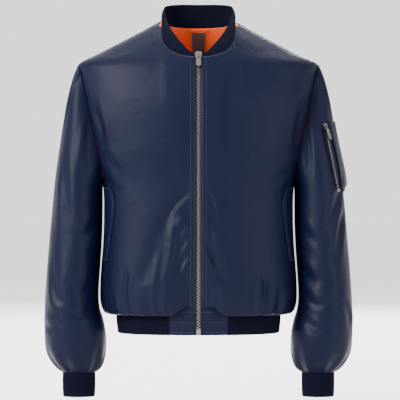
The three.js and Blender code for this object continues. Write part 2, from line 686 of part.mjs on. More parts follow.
// A knit band between its seam and its free edge. Its ribs stand on the outer face alone, and
// its inside is plain. The bulge swells it between the two edges.
function ribBand({ seam, edge, away, ribs, rows, bulge, closed, middleOf }) {
  const columns = ribs * 2;
  const count = closed ? columns : columns + 1;
  const plain = [];
  for (let r = 0; r <= rows; r += 1) {
    const line = [];
    for (let c = 0; c < count; c += 1) {
      const place = seam(c / columns).lerp(edge(c / columns), r / rows);
      const out = place.clone().sub(middleOf(place));
      out.z = 0;
      const swell = place.y < 0 ? bulge * smooth(Math.abs(place.x), FLAT_BY_ZIP.from, FLAT_BY_ZIP.to) : bulge;
      line.push(place.addScaledVector(out.normalize(), swell * Math.sin((Math.PI * r) / rows)));
    }
    plain.push(line);
  }
  const normals = gridNormals(plain, closed, middleOf);
  // The band's foot stays on its own side of the wall that it is sewn to.
  for (let c = 0; c < count && away; c += 1) {
    const clear = away(c / columns).normalize();
    const into = Math.max(0, normals[0][c].dot(clear));
    normals[0][c].addScaledVector(clear, -into).normalize();
  }
  const inner = plain.map((line, r) => line.map((place, c) => (
    place.clone().addScaledVector(normals[r][c], -RIB_WALL))));
  const outer = plain.map((line, r) => line.map((place, c) => (
    place.clone().addScaledVector(normals[r][c], c % 2 === 1 ? -RIB_DEPTH : 0))));
  return closedBody(outer, inner, closed);
}

function collarBand() {
  const stitches = [];
  for (let c = 0; c <= NECK_COLUMNS; c += 1) {
    stitches.push({ panel: fronts.get(1), row: topRow, column: c });
  }
  for (let c = NECK_COLUMNS - 1; c >= -NECK_COLUMNS + 1; c -= 1) {
    stitches.push({ panel: back, row: topRow, column: backColumn(1, c) });
  }
  for (let c = NECK_COLUMNS; c >= 0; c -= 1) {
    stitches.push({ panel: fronts.get(-1), row: topRow, column: c });
  }
  const half = spread(COLLAR_EDGE.map((row) => ({ position: point(row.x, row.y, row.z) })), 40);
  const other = half.map(({ position }) => ({ position: mirrored(position, -1) }));
  const edge = lineReader([...half, ...other.reverse().slice(1)]);
  const line = bandLine(stitches);
  return ribBand({ seam: lineReader(line), away: lineReader(line, 'away'), edge, ribs: COLLAR_RIBS,
    rows: 3, bulge: 2.5, closed: false, middleOf: bodyMiddle });
}

const HEM_RING = { side: 172.5, depth: 119, depthAtZip: 123, square: 2.3 };

// The hem's lower ring, at the angle of a point of its seam.
function hemEdgePoint(position) {
  const ahead = position.y < 0;
  const near = smooth(Math.abs(position.x), ZIP_STRAIGHT_TO, BLOUSED_FROM);
  const depth = ahead ? lerp(HEM_RING.depthAtZip, HEM_RING.depth, near) : HEM_RING.depth;
  const angle = Math.atan2(position.x, -position.y);
  const radius = superellipse(angle, HEM_RING.side, depth, HEM_RING.square);
  const place = point(radius * Math.sin(angle), -radius * Math.cos(angle), HEM_BOTTOM_Z);
  if (ahead && Math.abs(position.x) < BLOUSED_FROM) {
    place.x = lerp(position.x, place.x, near);
  }
  return place;
}

function hemSeam(side) {
  const stitches = [];
  for (let c = 0; c <= last; c += 1) stitches.push({ panel: fronts.get(side), row: 0, column: c });
  return stitches;
}

function hemBand() {
  const stitches = hemSeam(1).slice(TAB_COLUMNS);
  for (let c = last - 1; c > -last; c -= 1) {
    stitches.push({ panel: back, row: 0, column: backColumn(1, c) });
  }
  stitches.push(...hemSeam(-1).slice(TAB_COLUMNS).reverse());
  const places = bandLine(stitches);
  const aside = places[1].position.clone().sub(places[0].position).normalize();
  places[0].position.addScaledVector(aside, SEAM_GAP);
  const behind = places.at(-2).position.clone().sub(places.at(-1).position).normalize();
  places.at(-1).position.addScaledVector(behind, SEAM_GAP);
  const seam = lineReader(places);
  return ribBand({ seam, away: lineReader(places, 'away'), ribs: HEM_RIBS, rows: 2, bulge: 1.5,
    edge: (fraction) => hemEdgePoint(seam(fraction)), closed: false, middleOf: bodyMiddle });
}

// The woven tab beside the zip, that finishes the hem band at the front.
function hemTab(side) {
  const seam = bandLine(hemSeam(side).slice(0, TAB_COLUMNS + 1)).map(({ position }) => position);
  const rows = 4;
  const grid = [];
  for (let r = 0; r <= rows; r += 1) {
    grid.push(seam.map((place) => place.clone().lerp(hemEdgePoint(place), r / rows)));
  }
  return makePanel(grid, SHELL_WALL, false, bodyMiddle);
}

const hemTabs = new Map(SIDES.map(({ side }) => [side, hemTab(side)]));

const CUFF_TAPER = 0.02; // of its width, from the seam to the free edge

function cuffBand(side) {
  const sleeve = sleeves.get(side);
  const row = sleeve.grid.length - 1;
  const stitches = sleeve.grid[row].map((_, column) => ({ panel: sleeve, row, column }));
  const end = SLEEVE_SECTIONS.at(-1);
  const middle = mirrored(point((end.innerX + end.outerX) / 2, end.y, 0), side);
  const places = stitches.map(({ column }) => {
    const position = sleeve.grid[row][column].clone();
    const out = position.clone().sub(middle).setZ(0).normalize();
    return { position: position.addScaledVector(out, -SEAM_GAP).setZ(CUFF_TOP_Z - SEAM_GAP) };
  });
  const seam = lineReader([...places, places[0]]);
  const edge = (fraction) => {
    const place = seam(fraction);
    const out = place.clone().sub(middle).setZ(0);
    return place.addScaledVector(out, -CUFF_TAPER).setZ(CUFF_BOTTOM_Z);
  };
  return ribBand({ seam, edge, ribs: CUFF_RIBS, rows: 2, bulge: 0.4, closed: true,
    middleOf: (place) => point(middle.x, middle.y, place.z) });
}

// Pieces laid on a panel

// A patch laid on a surface: its points are the surface's own, moved out along the normal.
// Round is the fraction across the patch and high is the fraction up it, each from 0 to 1.
function patch({ surface, across, up, lift, wall, middleOf, puff = () => 0 }) {
  const bare = [];
  const apart = 1e-3;
  for (let r = 0; r <= up; r += 1) {
    const line = [];
    for (let c = 0; c <= across; c += 1) {
      const [s, t] = [c / across, r / up];
      const place = surface(s, t);
      const low = Math.min(s, 1 - apart);
      const under = Math.min(t, 1 - apart);
      const alongS = surface(low + apart, t).sub(surface(low, t));
      const alongT = surface(s, under + apart).sub(surface(s, under));
      const normal = alongS.cross(alongT).normalize();
      if (normal.dot(place.clone().sub(middleOf(place))) < 0) normal.negate();
      line.push({ place, normal, raised: puff(s, t) });
    }
    bare.push(line);
  }
  const layer = (height) => bare.map((line) => line.map(({ place, normal, raised }) => (
    place.clone().addScaledVector(normal, height + raised))));
  return closedBody(layer(lift + wall), layer(lift), false);
}

// Slanted pocket flap: its free edge faces the zip, and its other edge runs down beside the sleeve.
const FLAP_EDGE = [
  { z: -514, x: 192, far: 198 },
  { z: -500, x: 188.5, far: 198.5 },
  { z: -470, x: 184, far: 197 },
  { z: -440, x: 180, far: 196 },
  { z: -405, x: 175, far: 196 },
  { z: -385, x: 175, far: 196 },
  { z: -368, x: 179, far: 197 },
  { z: -356, x: 186, far: 198 },
];
const FLAP_WALL = 2.4;
const FLAP_LIFT = 0.9; // clear of the front's own flat facets
const flapTrack = track(FLAP_EDGE, 'z');

function pocketFlap(side) {
  const surface = (s, t) => {
    const h = lerp(FLAP_EDGE[0].z, FLAP_EDGE.at(-1).z, t);
    const { x, far } = flapTrack(h);
    const place = shellPoint(side, lerp(angleAt(x, h, false), angleAt(far, h, false), s), h);
    return mirrored(place, side);
  };
  return patch({ surface, across: 4, up: 10, lift: FLAP_LIFT, wall: FLAP_WALL, middleOf: bodyMiddle });
}

// Zips

// A bar of the given outline swept along a row of places, each with its outward direction.
function sweptBar(places, across, outline) {
  const rings = places.map(({ position, out }) => outline.map(([a, o]) => (
    position.clone().addScaledVector(across, a).addScaledVector(out, o))));
  const sides = outline.length;
  const faces = [];
  for (let r = 0; r < rings.length - 1; r += 1) {
    for (let k = 0; k < sides; k += 1) {
      const [a, b] = [r * sides + k, r * sides + ((k + 1) % sides)];
      faces.push([a, b, b + sides], [a, b + sides, a + sides]);
    }
  }
  const start = (rings.length - 1) * sides;
  for (let k = 1; k < sides - 1; k += 1) {
    faces.push([0, k + 1, k], [start, start + k, start + k + 1]);
  }
  return orientedGeometry(rings.flat(), faces);
}

const TEETH_HALF_WIDTH = 4.6;
const TEETH_PROUD = 0.6;
const BOX_PROUD = 1.6;
const TEETH_BACK = -3.9;
const TAPE_LIFT = -SHELL_WALL - 0.6;
const TAPE_WALL = 1;
const ZIP_BOX_TOP = -653;
const SLIDER_Z = -84;

// The line that the front zip follows, up the middle between the edges of the two fronts.
const zipLine = (() => {
  const front = fronts.get(1);
  const tab = hemTabs.get(1);
  const rows = [...[...tab.grid].reverse().slice(0, -1), ...front.grid];
  const places = rows.map((line) => point(0, line[0].y, line[0].z));
  return places.map((position, i) => {
    const up = places[Math.min(i + 1, places.length - 1)].clone()
      .sub(places[Math.max(i - 1, 0)]).normalize();
    return { position, out: up.cross(point(-1, 0, 0)).normalize() };
  });
})();

function zipPlaceAt(z) {
  let i = 1;
  while (i < zipLine.length - 1 && zipLine[i].position.z < z) i += 1;
  const [low, high] = [zipLine[i - 1], zipLine[i]];
  const t = (z - low.position.z) / (high.position.z - low.position.z);
  const position = low.position.clone().lerp(high.position, t);
  return { position, out: low.out.clone().lerp(high.out, t).normalize() };
}

function zipStretch(fromZ, toZ) {
  const inside = zipLine.filter(({ position }) => position.z > fromZ + 1 && position.z < toZ - 1);
  return [zipPlaceAt(fromZ), ...inside, zipPlaceAt(toZ)];
}

const rectangle = (left, right, low, high) => [[left, low], [right, low], [right, high], [left, high]];

// Each tape lies behind its front, from the centre line to past the topstitching.
function zipTape(side) {
  const front = fronts.get(side);
  const tab = hemTabs.get(side);
  const bodyRows = front.grid.map((line, r) => ({ line, inward: front.inward[r] }));
  const tabRows = tab.grid.map((line, r) => ({ line, inward: tab.inward[r] })).reverse();
  const layer = (beyond) => [...tabRows.slice(0, -1), ...bodyRows].map(({ line, inward }) => {
    const moved = [0, 1].map((c) => {
      const unit = inward[c].clone().normalize();
      return line[c].clone().addScaledVector(unit, beyond);
    });
    const middle = moved[0].clone();
    middle.x = side * SEAM_GAP * 0.5;
    return [middle, ...moved];
  });
  return closedBody(layer(-TAPE_LIFT), layer(-TAPE_LIFT + TAPE_WALL), false);
}

// Sets a piece made in its own frame (x across, y up the zip, z out of the cloth) on the jacket.
function placedFrame(position, across, up) {
  const out = across.clone().cross(up).normalize();
  return new THREE.Matrix4().makeBasis(across, up, out).setPosition(position);
}

function extruded(outline, holes, depth) {
  const shape = new THREE.Shape(outline.map(([a, b]) => new THREE.Vector2(a, b)));
  for (const hole of holes) {
    shape.holes.push(new THREE.Path(hole.map(([a, b]) => new THREE.Vector2(a, b))));
  }
  return new THREE.ExtrudeGeometry(shape, { depth, bevelEnabled: false, curveSegments: 8 });
}

function solidOf(geometry) {
  const bare = geometry.clone();
  bare.deleteAttribute('normal');
  bare.deleteAttribute('uv');
  const merged = mergeVertices(bare, 1e-5);
  return new wasm.Manifold(new wasm.Mesh({
    numProp: 3,
    vertProperties: new Float32Array(merged.attributes.position.array),
    triVerts: new Uint32Array(merged.index.array),
  }));
}

function geometryOf(solid) {
  const mesh = solid.getMesh();
  const geometry = new THREE.BufferGeometry();
  geometry.setAttribute('position', new THREE.BufferAttribute(mesh.vertProperties, 3));
  geometry.setIndex(new THREE.BufferAttribute(mesh.triVerts, 1));
  geometry.computeVertexNormals();
  return geometry;
}

// A zip slider: a tapered plate with a bridge along it, that the pull tab's eye hangs under.
// Its frame's origin is on the teeth, below the middle of the bridge.
function sliderBody({ length, width, plate, bridge, room }) {
  const [half, wide] = [length / 2, width / 2];
  const outline = [[-wide * 0.6, -half], [wide * 0.6, -half], [wide * 0.78, -half * 0.3],
    [wide, half * 0.45], [wide * 0.86, half * 0.9], [wide * 0.5, half], [-wide * 0.5, half],
    [-wide * 0.86, half * 0.9], [-wide, half * 0.45], [-wide * 0.78, -half * 0.3]];
  const base = extruded(outline, [], plate);
  const reach = bridge.halfLength;
  const top = room + bridge.thick;
  const arch = extruded(
    [[-reach, -0.6], [reach, -0.6], [reach, room * 0.7], [reach - 1, top], [1 - reach, top],
      [-reach, room * 0.7]],
    [[[-reach + bridge.thick, 0.01], [-reach + bridge.thick, room], [reach - bridge.thick, room],
      [reach - bridge.thick, 0.01]]],
    bridge.width);
  // The arch is drawn along the slider and rising, so it is turned to stand on the plate.
  arch.applyMatrix4(new THREE.Matrix4().set(
    0, 0, 1, -bridge.width / 2,
    1, 0, 0, 0,
    0, 1, 0, plate,
    0, 0, 0, 1));
  return geometryOf(solidOf(base).add(solidOf(arch)));
}

// A pull tab with a window at its upper end. Its frame's origin is the axis that it swings on.
function pullTab({ length, width, neck, window, bar, thick }) {
  const [wide, slim] = [width / 2, neck / 2];
  const outline = [[-slim, bar], [slim, bar], [slim, -window.length - bar * 2.5],
    [wide, -window.length - bar * 5], [wide, -length + 3], [wide - 2.2, -length],
    [2.2 - wide, -length], [-wide, 3 - length], [-wide, -window.length - bar * 5],
    [-slim, -window.length - bar * 2.5]];
  const hole = [[-window.width / 2, -bar], [-window.width / 2, -bar - window.length],
    [window.width / 2, -bar - window.length], [window.width / 2, -bar]];
  const tab = extruded(outline, [hole], thick);
  tab.translate(0, 0, -thick / 2);
  return tab;
}

const FRONT_SLIDER = { length: 20, width: 15, plate: 2.4, room: 3,
  bridge: { halfLength: 4.2, thick: 1.5, width: 2.4 } };
const FRONT_PULL = { length: 24, width: 10.5, neck: 7.4, bar: 0.75, thick: 1.4,
  window: { width: 4, length: 5.2 } };
const ARM_SLIDER = { length: 13, width: 10, plate: 2, room: 2.6,
  bridge: { halfLength: 3.4, thick: 1.2, width: 2 } };
const ARM_PULL = { length: 30, width: 8, neck: 6, bar: 0.65, thick: 1.2,
  window: { width: 3.4, length: 4.4 } };

// The pocket on the wearer's left sleeve

const ARM_ZIP_TOP = { z: -230, x: 266 };
const ARM_ZIP_FOOT = { z: -360, x: 292 };
// Heights of the zip's parts above the sleeve's surface.
const ARM_TAPE = { halfWidth: 8, low: 0.9, high: 1.7 };
const ARM_TEETH = { halfWidth: 3, low: 2, high: 3.6 };
const ARM_STOP = { halfWidth: 4.2, low: 2, high: 4.8, length: 7 };
// The pocket reaches from beside the zip round to a fraction of the sleeve behind the arm,
// where its upper and lower corners lie on the sections that are named here.
const ARM_POCKET = { top: -226, foot: -368, besideZip: 9, far: 0.73, farTop: 3.15, farFoot: 5.3,
  lift: 1, wall: 2.4, puff: 9 };
const SLEEVE_AXIS = { topX: 231, footX: 262, topZ: -94, length: 560, y: -6 };

const leftArmhole = lineReader([...armholeRings.get(1), armholeRings.get(1)[0]].map(([entry]) => (
  { position: entry.panel.grid[entry.row][entry.column] })));

const leftSleevePoint = (fraction, row) => sleevePoint(1, fraction, row, leftArmhole(fraction));

// The place on the left sleeve's front that shows at x and z when it is seen from the front.
function sleevePlaceAt(x, z) {
  let [fraction, row] = [0.33, 4];
  for (let i = 0; i < 30; i += 1) {
    const here = leftSleevePoint(fraction, row);
    const round = leftSleevePoint(fraction + 0.0025, row).sub(here).divideScalar(0.0025);
    const down = leftSleevePoint(fraction, row + 0.02).sub(here).divideScalar(0.02);
    const [ex, ez] = [x - here.x, z - here.z];
    const area = round.x * down.z - down.x * round.z;
    fraction += THREE.MathUtils.clamp((ex * down.z - down.x * ez) / area, -0.05, 0.05);
    row += THREE.MathUtils.clamp((round.x * ez - ex * round.z) / area, -0.5, 0.5);
  }
  return { fraction, row };
}

const armZipX = (z) => lerp(ARM_ZIP_TOP.x, ARM_ZIP_FOOT.x,
  (z - ARM_ZIP_TOP.z) / (ARM_ZIP_FOOT.z - ARM_ZIP_TOP.z));
const sleeveMiddle = (place) => {
  const t = THREE.MathUtils.clamp((SLEEVE_AXIS.topZ - place.z) / SLEEVE_AXIS.length, 0, 1);
  return point(lerp(SLEEVE_AXIS.topX, SLEEVE_AXIS.footX, t), SLEEVE_AXIS.y, place.z);
};

// Lines up the sleeve zip: the surface's own points, with the direction out of the cloth.
const armZipLine = (() => {
  const steps = 10;
  const places = [];
  for (let i = 0; i <= steps; i += 1) {
    const z = lerp(ARM_ZIP_FOOT.z, ARM_ZIP_TOP.z, i / steps);
    const { fraction, row } = sleevePlaceAt(armZipX(z), z);
    const here = leftSleevePoint(fraction, row);
    const round = leftSleevePoint(fraction + 0.01, row).sub(leftSleevePoint(fraction - 0.01, row));
    const down = leftSleevePoint(fraction, row + 0.2).sub(leftSleevePoint(fraction, row - 0.2));
    const out = round.cross(down).normalize();
    if (out.dot(here.clone().sub(sleeveMiddle(here))) < 0) out.negate();
    places.push({ position: here, out });
  }
  return places;
})();
const armZipUp = armZipLine.at(-1).position.clone().sub(armZipLine[0].position).normalize();
const armZipAcross = armZipUp.clone().cross(armZipLine[5].out).normalize();

function armPocket() {
  const { top, foot, besideZip, far, farTop, farFoot, lift, wall } = ARM_POCKET;
  const corners = [foot, top].map((z) => sleevePlaceAt(armZipX(z) + besideZip, z));
  const surface = (s, t) => {
    const near = {
      fraction: lerp(corners[0].fraction, corners[1].fraction, t),
      row: lerp(corners[0].row, corners[1].row, t),
    };
    const fraction = lerp(near.fraction, far, s);
    return leftSleevePoint(fraction, lerp(near.row, lerp(farFoot, farTop, t), smooth(s, 0, 0.5)));
  };
  // The pocket stands away from the sleeve most at its lower outer corner.
  const puff = (s, t) => ARM_POCKET.puff * smooth(s, 0, 0.45) * (1 - smooth(s, 0.7, 1))
    * smooth(t, 0, 0.1) * (1 - smooth(t, 0.15, 1));
  return patch({ surface, across: 11, up: 8, lift, wall, middleOf: sleeveMiddle, puff });
}

// Inside the back neck

const LINING_WALL = 1;
const LINING_COLUMNS = NECK_COLUMNS + 2; // on each side of the centre back
const LINING_ROWS = 5;
const LABEL = { halfWidth: 14.5, top: 0.42, foot: 1.75, wall: 0.8 };
const LOOP = { halfWidth: 21, top: 0.12, foot: 0.3, wall: 1.2 };

// A point inside the back: columns count from the centre back and rows down from the neck seam,
// and both may lie between the back's own. Deep is how far it lies within the back's inner face.
function backInside(column, row, deep) {
  const [c, r] = [Math.floor(column), Math.floor(row)];
  const corner = (dc, dr) => {
    const [line, entry] = [topRow - Math.min(r + dr, topRow), last + c + dc];
    const inward = back.inward[line][entry];
    return back.grid[line][entry].clone().add(inward).addScaledVector(inward.clone().normalize(), deep);
  };
  const [s, t] = [column - c, row - r];
  const upper = corner(0, 0).lerp(corner(s > 0 ? 1 : 0, 0), s);
  return upper.lerp(corner(0, 1).lerp(corner(s > 0 ? 1 : 0, 1), s), t);
}

function insidePiece(columns, rows, deep, wall) {
  const layer = (depth) => rows.map((row) => columns.map((column) => backInside(column, row, depth)));
  return closedBody(layer(deep + wall), layer(deep), false);
}

function neckLining() {
  const columns = [];
  const rows = [];
  for (let c = -LINING_COLUMNS; c <= LINING_COLUMNS; c += 1) columns.push(c);
  for (let r = LINING_ROWS; r >= 0; r -= 1) rows.push(r === 0 ? 0.05 : r);
  return insidePiece(columns, rows, SEAM_GAP, LINING_WALL);
}

// A flat piece on the lining, centred at the back of the neck.
function neckPiece({ halfWidth, top, foot, wall }) {
  const width = back.grid[topRow][last].distanceTo(back.grid[topRow][last + 1]);
  const reach = halfWidth / width;
  const columns = [-reach, ...(reach > 1 ? [-1, 0, 1] : [0]), reach];
  const rows = foot > 1 ? [top, 1, foot] : [top, foot];
  return insidePiece(columns, rows, SEAM_GAP + LINING_WALL + 0.5, wall);
}

// The jacket

const jacket = new THREE.Group();
const finish = (colour, roughness, metalness) => (
  new THREE.MeshStandardMaterial({ color: colour, roughness, metalness }));
const shellCloth = finish(NAVY, 0.5, 0);
const ribKnit = finish(NAVY_RIB, 0.9, 0);
const liningCloth = finish(ORANGE, 0.55, 0);
const labelCloth = finish(CHARCOAL, 0.7, 0);
const zipMetal = finish(METAL, 0.35, 0.9);
const zipTapeCloth = finish(NAVY_RIB, 0.8, 0);

function add(name, geometry, material, parent = jacket) {
  const mesh = new THREE.Mesh(geometry, material);
  mesh.name = name;
  parent.add(mesh);
  return mesh;
}

add('back', panelBody(back), shellCloth);
add('collar_rib', collarBand(), ribKnit);
add('hem_rib', hemBand(), ribKnit);
for (const { side, name } of SIDES) {
  add(`front_${name}`, panelBody(fronts.get(side)), shellCloth);
  add(`sleeve_${name}`, panelBody(sleeves.get(side)), shellCloth);
  add(`cuff_${name}`, cuffBand(side), ribKnit);
  add(`hem_tab_${name}`, panelBody(hemTabs.get(side)), shellCloth);
  add(`pocket_flap_${name}`, pocketFlap(side), shellCloth);
  add(`zip_tape_${name}`, zipTape(side), zipTapeCloth);
}

const acrossFront = point(1, 0, 0);
const ZIP_TOP = -86;
add('zip_teeth', sweptBar(zipStretch(ZIP_BOX_TOP + SEAM_GAP, ZIP_TOP), acrossFront,
  rectangle(-TEETH_HALF_WIDTH, TEETH_HALF_WIDTH, TEETH_BACK, TEETH_PROUD)), zipMetal);
add('zip_box', sweptBar(zipStretch(HEM_BOTTOM_Z + 1, ZIP_BOX_TOP), acrossFront,
  rectangle(-TEETH_HALF_WIDTH, TEETH_HALF_WIDTH, TEETH_BACK, BOX_PROUD)), zipMetal);

// A slider on its zip, with its pull tab hanging down from it.
function addSlider({ prefix, seat, across, slider, pull, lift }) {
  const up = seat.out.clone().cross(across).normalize();
  const group = new THREE.Group();
  group.applyMatrix4(placedFrame(seat.position.clone().addScaledVector(seat.out, lift), across, up));
  jacket.add(group);
  add(`${prefix}_slider`, sliderBody(slider), zipMetal, group);
  const tab = add(`${prefix}_pull`, pullTab(pull), zipMetal, group);
  tab.position.set(0, 0, slider.plate + slider.room / 2);
  return group;
}

addSlider({ prefix: 'zip', seat: zipPlaceAt(SLIDER_Z), across: acrossFront, slider: FRONT_SLIDER,
  pull: FRONT_PULL, lift: TEETH_PROUD + 2 * SEAM_GAP });

add('arm_pocket', armPocket(), shellCloth);
const armZipFoot = (distance) => ({
  position: armZipLine[0].position.clone().addScaledVector(armZipUp, -distance),
  out: armZipLine[0].out,
});
for (const [name, places, bar, material] of [
  ['arm_zip_tape', armZipLine, ARM_TAPE, zipTapeCloth],
  ['arm_zip_teeth', armZipLine, ARM_TEETH, zipMetal],
  ['arm_zip_stop', [armZipFoot(ARM_STOP.length), armZipFoot(SEAM_GAP)], ARM_STOP, zipMetal],
]) {
  const outline = rectangle(-bar.halfWidth, bar.halfWidth, bar.low, bar.high);
  add(name, sweptBar(places, armZipAcross, outline), material);
}
addSlider({ prefix: 'arm_zip', seat: armZipLine.at(-1), across: armZipAcross, slider: ARM_SLIDER,
  pull: ARM_PULL, lift: ARM_TEETH.high + SEAM_GAP });

add('neck_lining', neckLining(), liningCloth);
add('neck_label', neckPiece(LABEL), labelCloth);
add('hanger_loop', neckPiece(LOOP), liningCloth);

export default jacket;
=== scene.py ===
# A zipped bomber jacket, filled out as if it were worn, with nobody in it. The tables are in
# millimetres, +Z up. The front faces -Y and the wearer's left arm is on +X.
import math

import bpy
import numpy as np
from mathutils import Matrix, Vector


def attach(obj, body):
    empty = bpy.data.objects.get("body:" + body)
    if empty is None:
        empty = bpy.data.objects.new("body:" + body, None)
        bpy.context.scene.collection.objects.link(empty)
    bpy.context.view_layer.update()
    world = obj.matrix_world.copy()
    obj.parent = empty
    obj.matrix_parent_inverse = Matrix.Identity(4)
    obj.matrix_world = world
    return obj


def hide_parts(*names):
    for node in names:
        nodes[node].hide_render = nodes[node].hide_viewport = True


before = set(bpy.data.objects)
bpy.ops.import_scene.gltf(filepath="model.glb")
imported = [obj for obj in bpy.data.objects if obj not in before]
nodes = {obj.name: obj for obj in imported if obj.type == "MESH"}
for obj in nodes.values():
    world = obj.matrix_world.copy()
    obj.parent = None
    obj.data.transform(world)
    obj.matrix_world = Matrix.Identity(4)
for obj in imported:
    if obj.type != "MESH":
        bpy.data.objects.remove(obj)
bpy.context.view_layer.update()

# Body. A back and two fronts of navy nylon twill over light padding and an orange lining, cut
# wide, sewn at the shoulders and sides and gathered onto the knit hem, so that they blouse
# over it. The sleeves, the collar, the hem band and its tabs start from these panels' edges.
MM = 0.001
SHELL_WALL = 4
THIN_SEAM = 16  # how far from a seam the padding has its whole thickness
OUT_WIDTH, OUT_DEPTH = 200, 150  # half sizes of the oval that folds sink in square to
THIN_SHARE = 0.2  # of its thickness, at the seam itself
EDGE_DRAWN = ((2, 0.12), (1, 0.5), (0, 1))  # lines from an edge, and their share of its sink
EDGE_BULGE = 0.35  # of the thickness, for the rounding of an edge
ZIP_EDGE = 5.3  # from the centre line to the folded edge of each front
NECK_LINES, SHOULDER_LINES, ARMHOLE_LINES = 32, 20, 40
PANEL_LINES = NECK_LINES + SHOULDER_LINES + ARMHOLE_LINES
TURNED_ROWS, UPPER_ROWS = 20, 78  # rows where the cloth turns under, and rows above
TURN_H, UNDERARM_H = -590, -349
LINE_SWEEP = 1.8  # how late a line of the panel bends out to the armhole
BODY_RINGS = [  # height up the cloth, z, half width, front and back depth, squareness
    (-644, -611, 175.5, 122, 122, 2.3),
    (-634, -619, 181, 128, 129, 2.3),
    (-624, -626, 191, 137, 138, 2.35),
    (-614, -623, 201, 145, 146, 2.4),
    (-604, -612, 207, 150, 151, 2.4),
    (-590, -596, 210, 153, 154, 2.4),
    (-565, -567, 210, 154, 155, 2.4),
    (-530, -530, 208, 154, 153, 2.4),
    (-480, -480, 204, 153, 151, 2.4),
    (-420, -420, 202, 152, 150, 2.4),
    (-349, -349, 204.5, 150, 151, 2.4),
    (-300, -300, 219, 149, 153, 2.4),
    (-262, -262, 227, 147, 153, 2.4),
    (-174, -174, 243, 137, 146, 2.35),
    (-114, -114, 254, 118, 131, 2.3),
    (-94, -94, 256.5, 110, 123, 2.25),
    (-70, -70, 211, 99, 111, 2.2),
    (-38, -38, 149, 83, 91, 2.2),
    (-15, -15, 106, 68, 72, 2.2),
    (0, 0, 79, 58, 58, 2.2),
]
ZIP_LINE = [  # height up the cloth, z, front depth
    (-644, -611, 129),
    (-634, -606, 131),
    (-624, -601, 133),
    (-614, -596, 135),
    (-604, -590, 137.5),
    (-590, -581, 140),
    (-565, -563, 145),
    (-530, -530, 151),
    (-480, -480, 153),
]
ZIP_STRAIGHT_TO, BLOUSED_FROM = 8, 62
ARMHOLE = [  # z, half width
    (-349, 204.5),
    (-337, 204),
    (-294, 208.5),
    (-262, 215),
    (-174, 236.5),
    (-114, 250),
    (-94, 256.5),
]
FRONT_NECK = [(5.3, -84), (26, -82), (45, -77), (60, -69), (70, -58), (76, -44), (79, -26),
              (80, -12), (79, 0)]
BACK_NECK = [(0, -8.5), (30, -8), (56, -6), (72, -3), (79, 0)]
GATHERS = [  # side, degrees from the centre front, depth, width in degrees, reach up the cloth
    (1, 15, 3, 3.4, 60),
    (1, 27, 5, 3.4, 75),
    (1, 37, 3, 3.2, 70),
    (1, 47, 6, 3.4, 110),
    (1, 60, 4, 4, 60),
    (1, 75, 3, 4, 50),
    (-1, 18, 3, 3.4, 90),
    (-1, 30, 5, 3.4, 50),
    (-1, 38, 4, 3.2, 45),
    (-1, 53, 6, 3.6, 70),
    (-1, 65, 3, 4, 60),
    (-1, 78, 3, 4, 50),
]
GATHERS_FOOT, GATHERS_FULL, GATHERS_TOP = -646, -616, -606  # heights up the cloth
BACK_GATHERS_FROM = 98  # degrees from the centre front
BACK_GATHER_DEPTHS = [5, 3, 6, 4, 5, 3, 6, 4]
BACK_GATHER_WIDTH = 3.2
FINE_GATHERS = 26  # small puckers at the hem seam, on each side, between the large gathers
FINE_GATHERS_FROM, FINE_GATHERS_SPAN, FINE_GATHER_WIDTH = 6, 172, 1.5  # degrees
FINE_GATHER_DEPTHS, FINE_GATHER_REACHES = (1, 3), (18, 62)
# Creases of the fronts, each along a path of x and z, with its width and its depth. Each has a
# low ridge beside it, but for those marked False, which are soft dents.
FRONT_CREASES = {
    -1: [
        ([(26, -372), (66, -420)], 13, 4, False),
        ([(44, -436), (66, -500), (88, -560)], 16, -4, False),
        ([(68, -436), (112, -540)], 18, 3, False),
        ([(28, -374), (48, -392), (66, -416)], 5, 2.4),
        ([(23, -430), (40, -455)], 4, 1.6),
        ([(22, -462), (36, -486)], 4, 1.4),
        ([(21, -494), (34, -515), (44, -538)], 5, 1.8),
        ([(22, -540), (34, -566)], 4, 1.3),
        ([(48, -422), (40, -470), (44, -520)], 9, 1.4),
        ([(66, -470), (80, -540), (84, -590)], 8, 1.8),
        ([(150, -540), (160, -590)], 6, 1.8),
        ([(196, -290), (172, -318), (150, -330)], 9, 1.8),
        ([(222, -180), (206, -232), (198, -280)], 9, 2.2),
        ([(200, -330), (184, -352), (160, -366)], 8, 1.6),
    ],
    1: [
        ([(18, -462), (47, -545)], 13, 5, False),
        ([(18, -400), (38, -440)], 12, 3, False),
        ([(16, -374), (26, -386), (37, -402)], 5, 2.4),
        ([(17, -432), (24, -446), (32, -462)], 4.5, 2),
        ([(16, -476), (30, -502), (42, -536)], 5, 2.6),
        ([(55, -556), (66, -592)], 6, 2.2),
        ([(20, -556), (30, -586)], 4, 1.4),
        ([(104, -574), (110, -598)], 6, 1.6),
        ([(140, -548), (144, -594)], 7, 2.6),
        ([(220, -176), (208, -240), (200, -296)], 9, 2.2),
        ([(200, -310), (176, -334), (148, -344)], 9, 1.6),
        ([(196, -340), (182, -362), (170, -372)], 7, 1.6),
    ],
}
BACK_CREASES = [
    ([(-190, -330), (-140, -352), (-96, -350)], 10, 2.4),
    ([(192, -322), (150, -340), (104, -346)], 11, 2.2),
    ([(-198, -300), (-160, -300), (-120, -312)], 9, 1.8),
    ([(200, -296), (158, -306), (110, -322)], 9, 1.6),
    ([(-120, -470), (-40, -486), (30, -478)], 14, 2.6),
    ([(140, -505), (70, -520), (0, -512)], 12, 2),
    ([(-160, -420), (-90, -436)], 12, 1.6),
    ([(60, -30), (50, -90), (34, -150)], 10, 1.5),
    ([(-60, -30), (-48, -84), (-36, -140)], 10, 1.5),
]


def smooth(value, low, high):
    t = np.clip((value - low) / (high - low), 0, 1)
    return t * t * (3 - 2 * t)


def unit(vectors):
    return vectors / np.linalg.norm(vectors, axis=-1, keepdims=True)


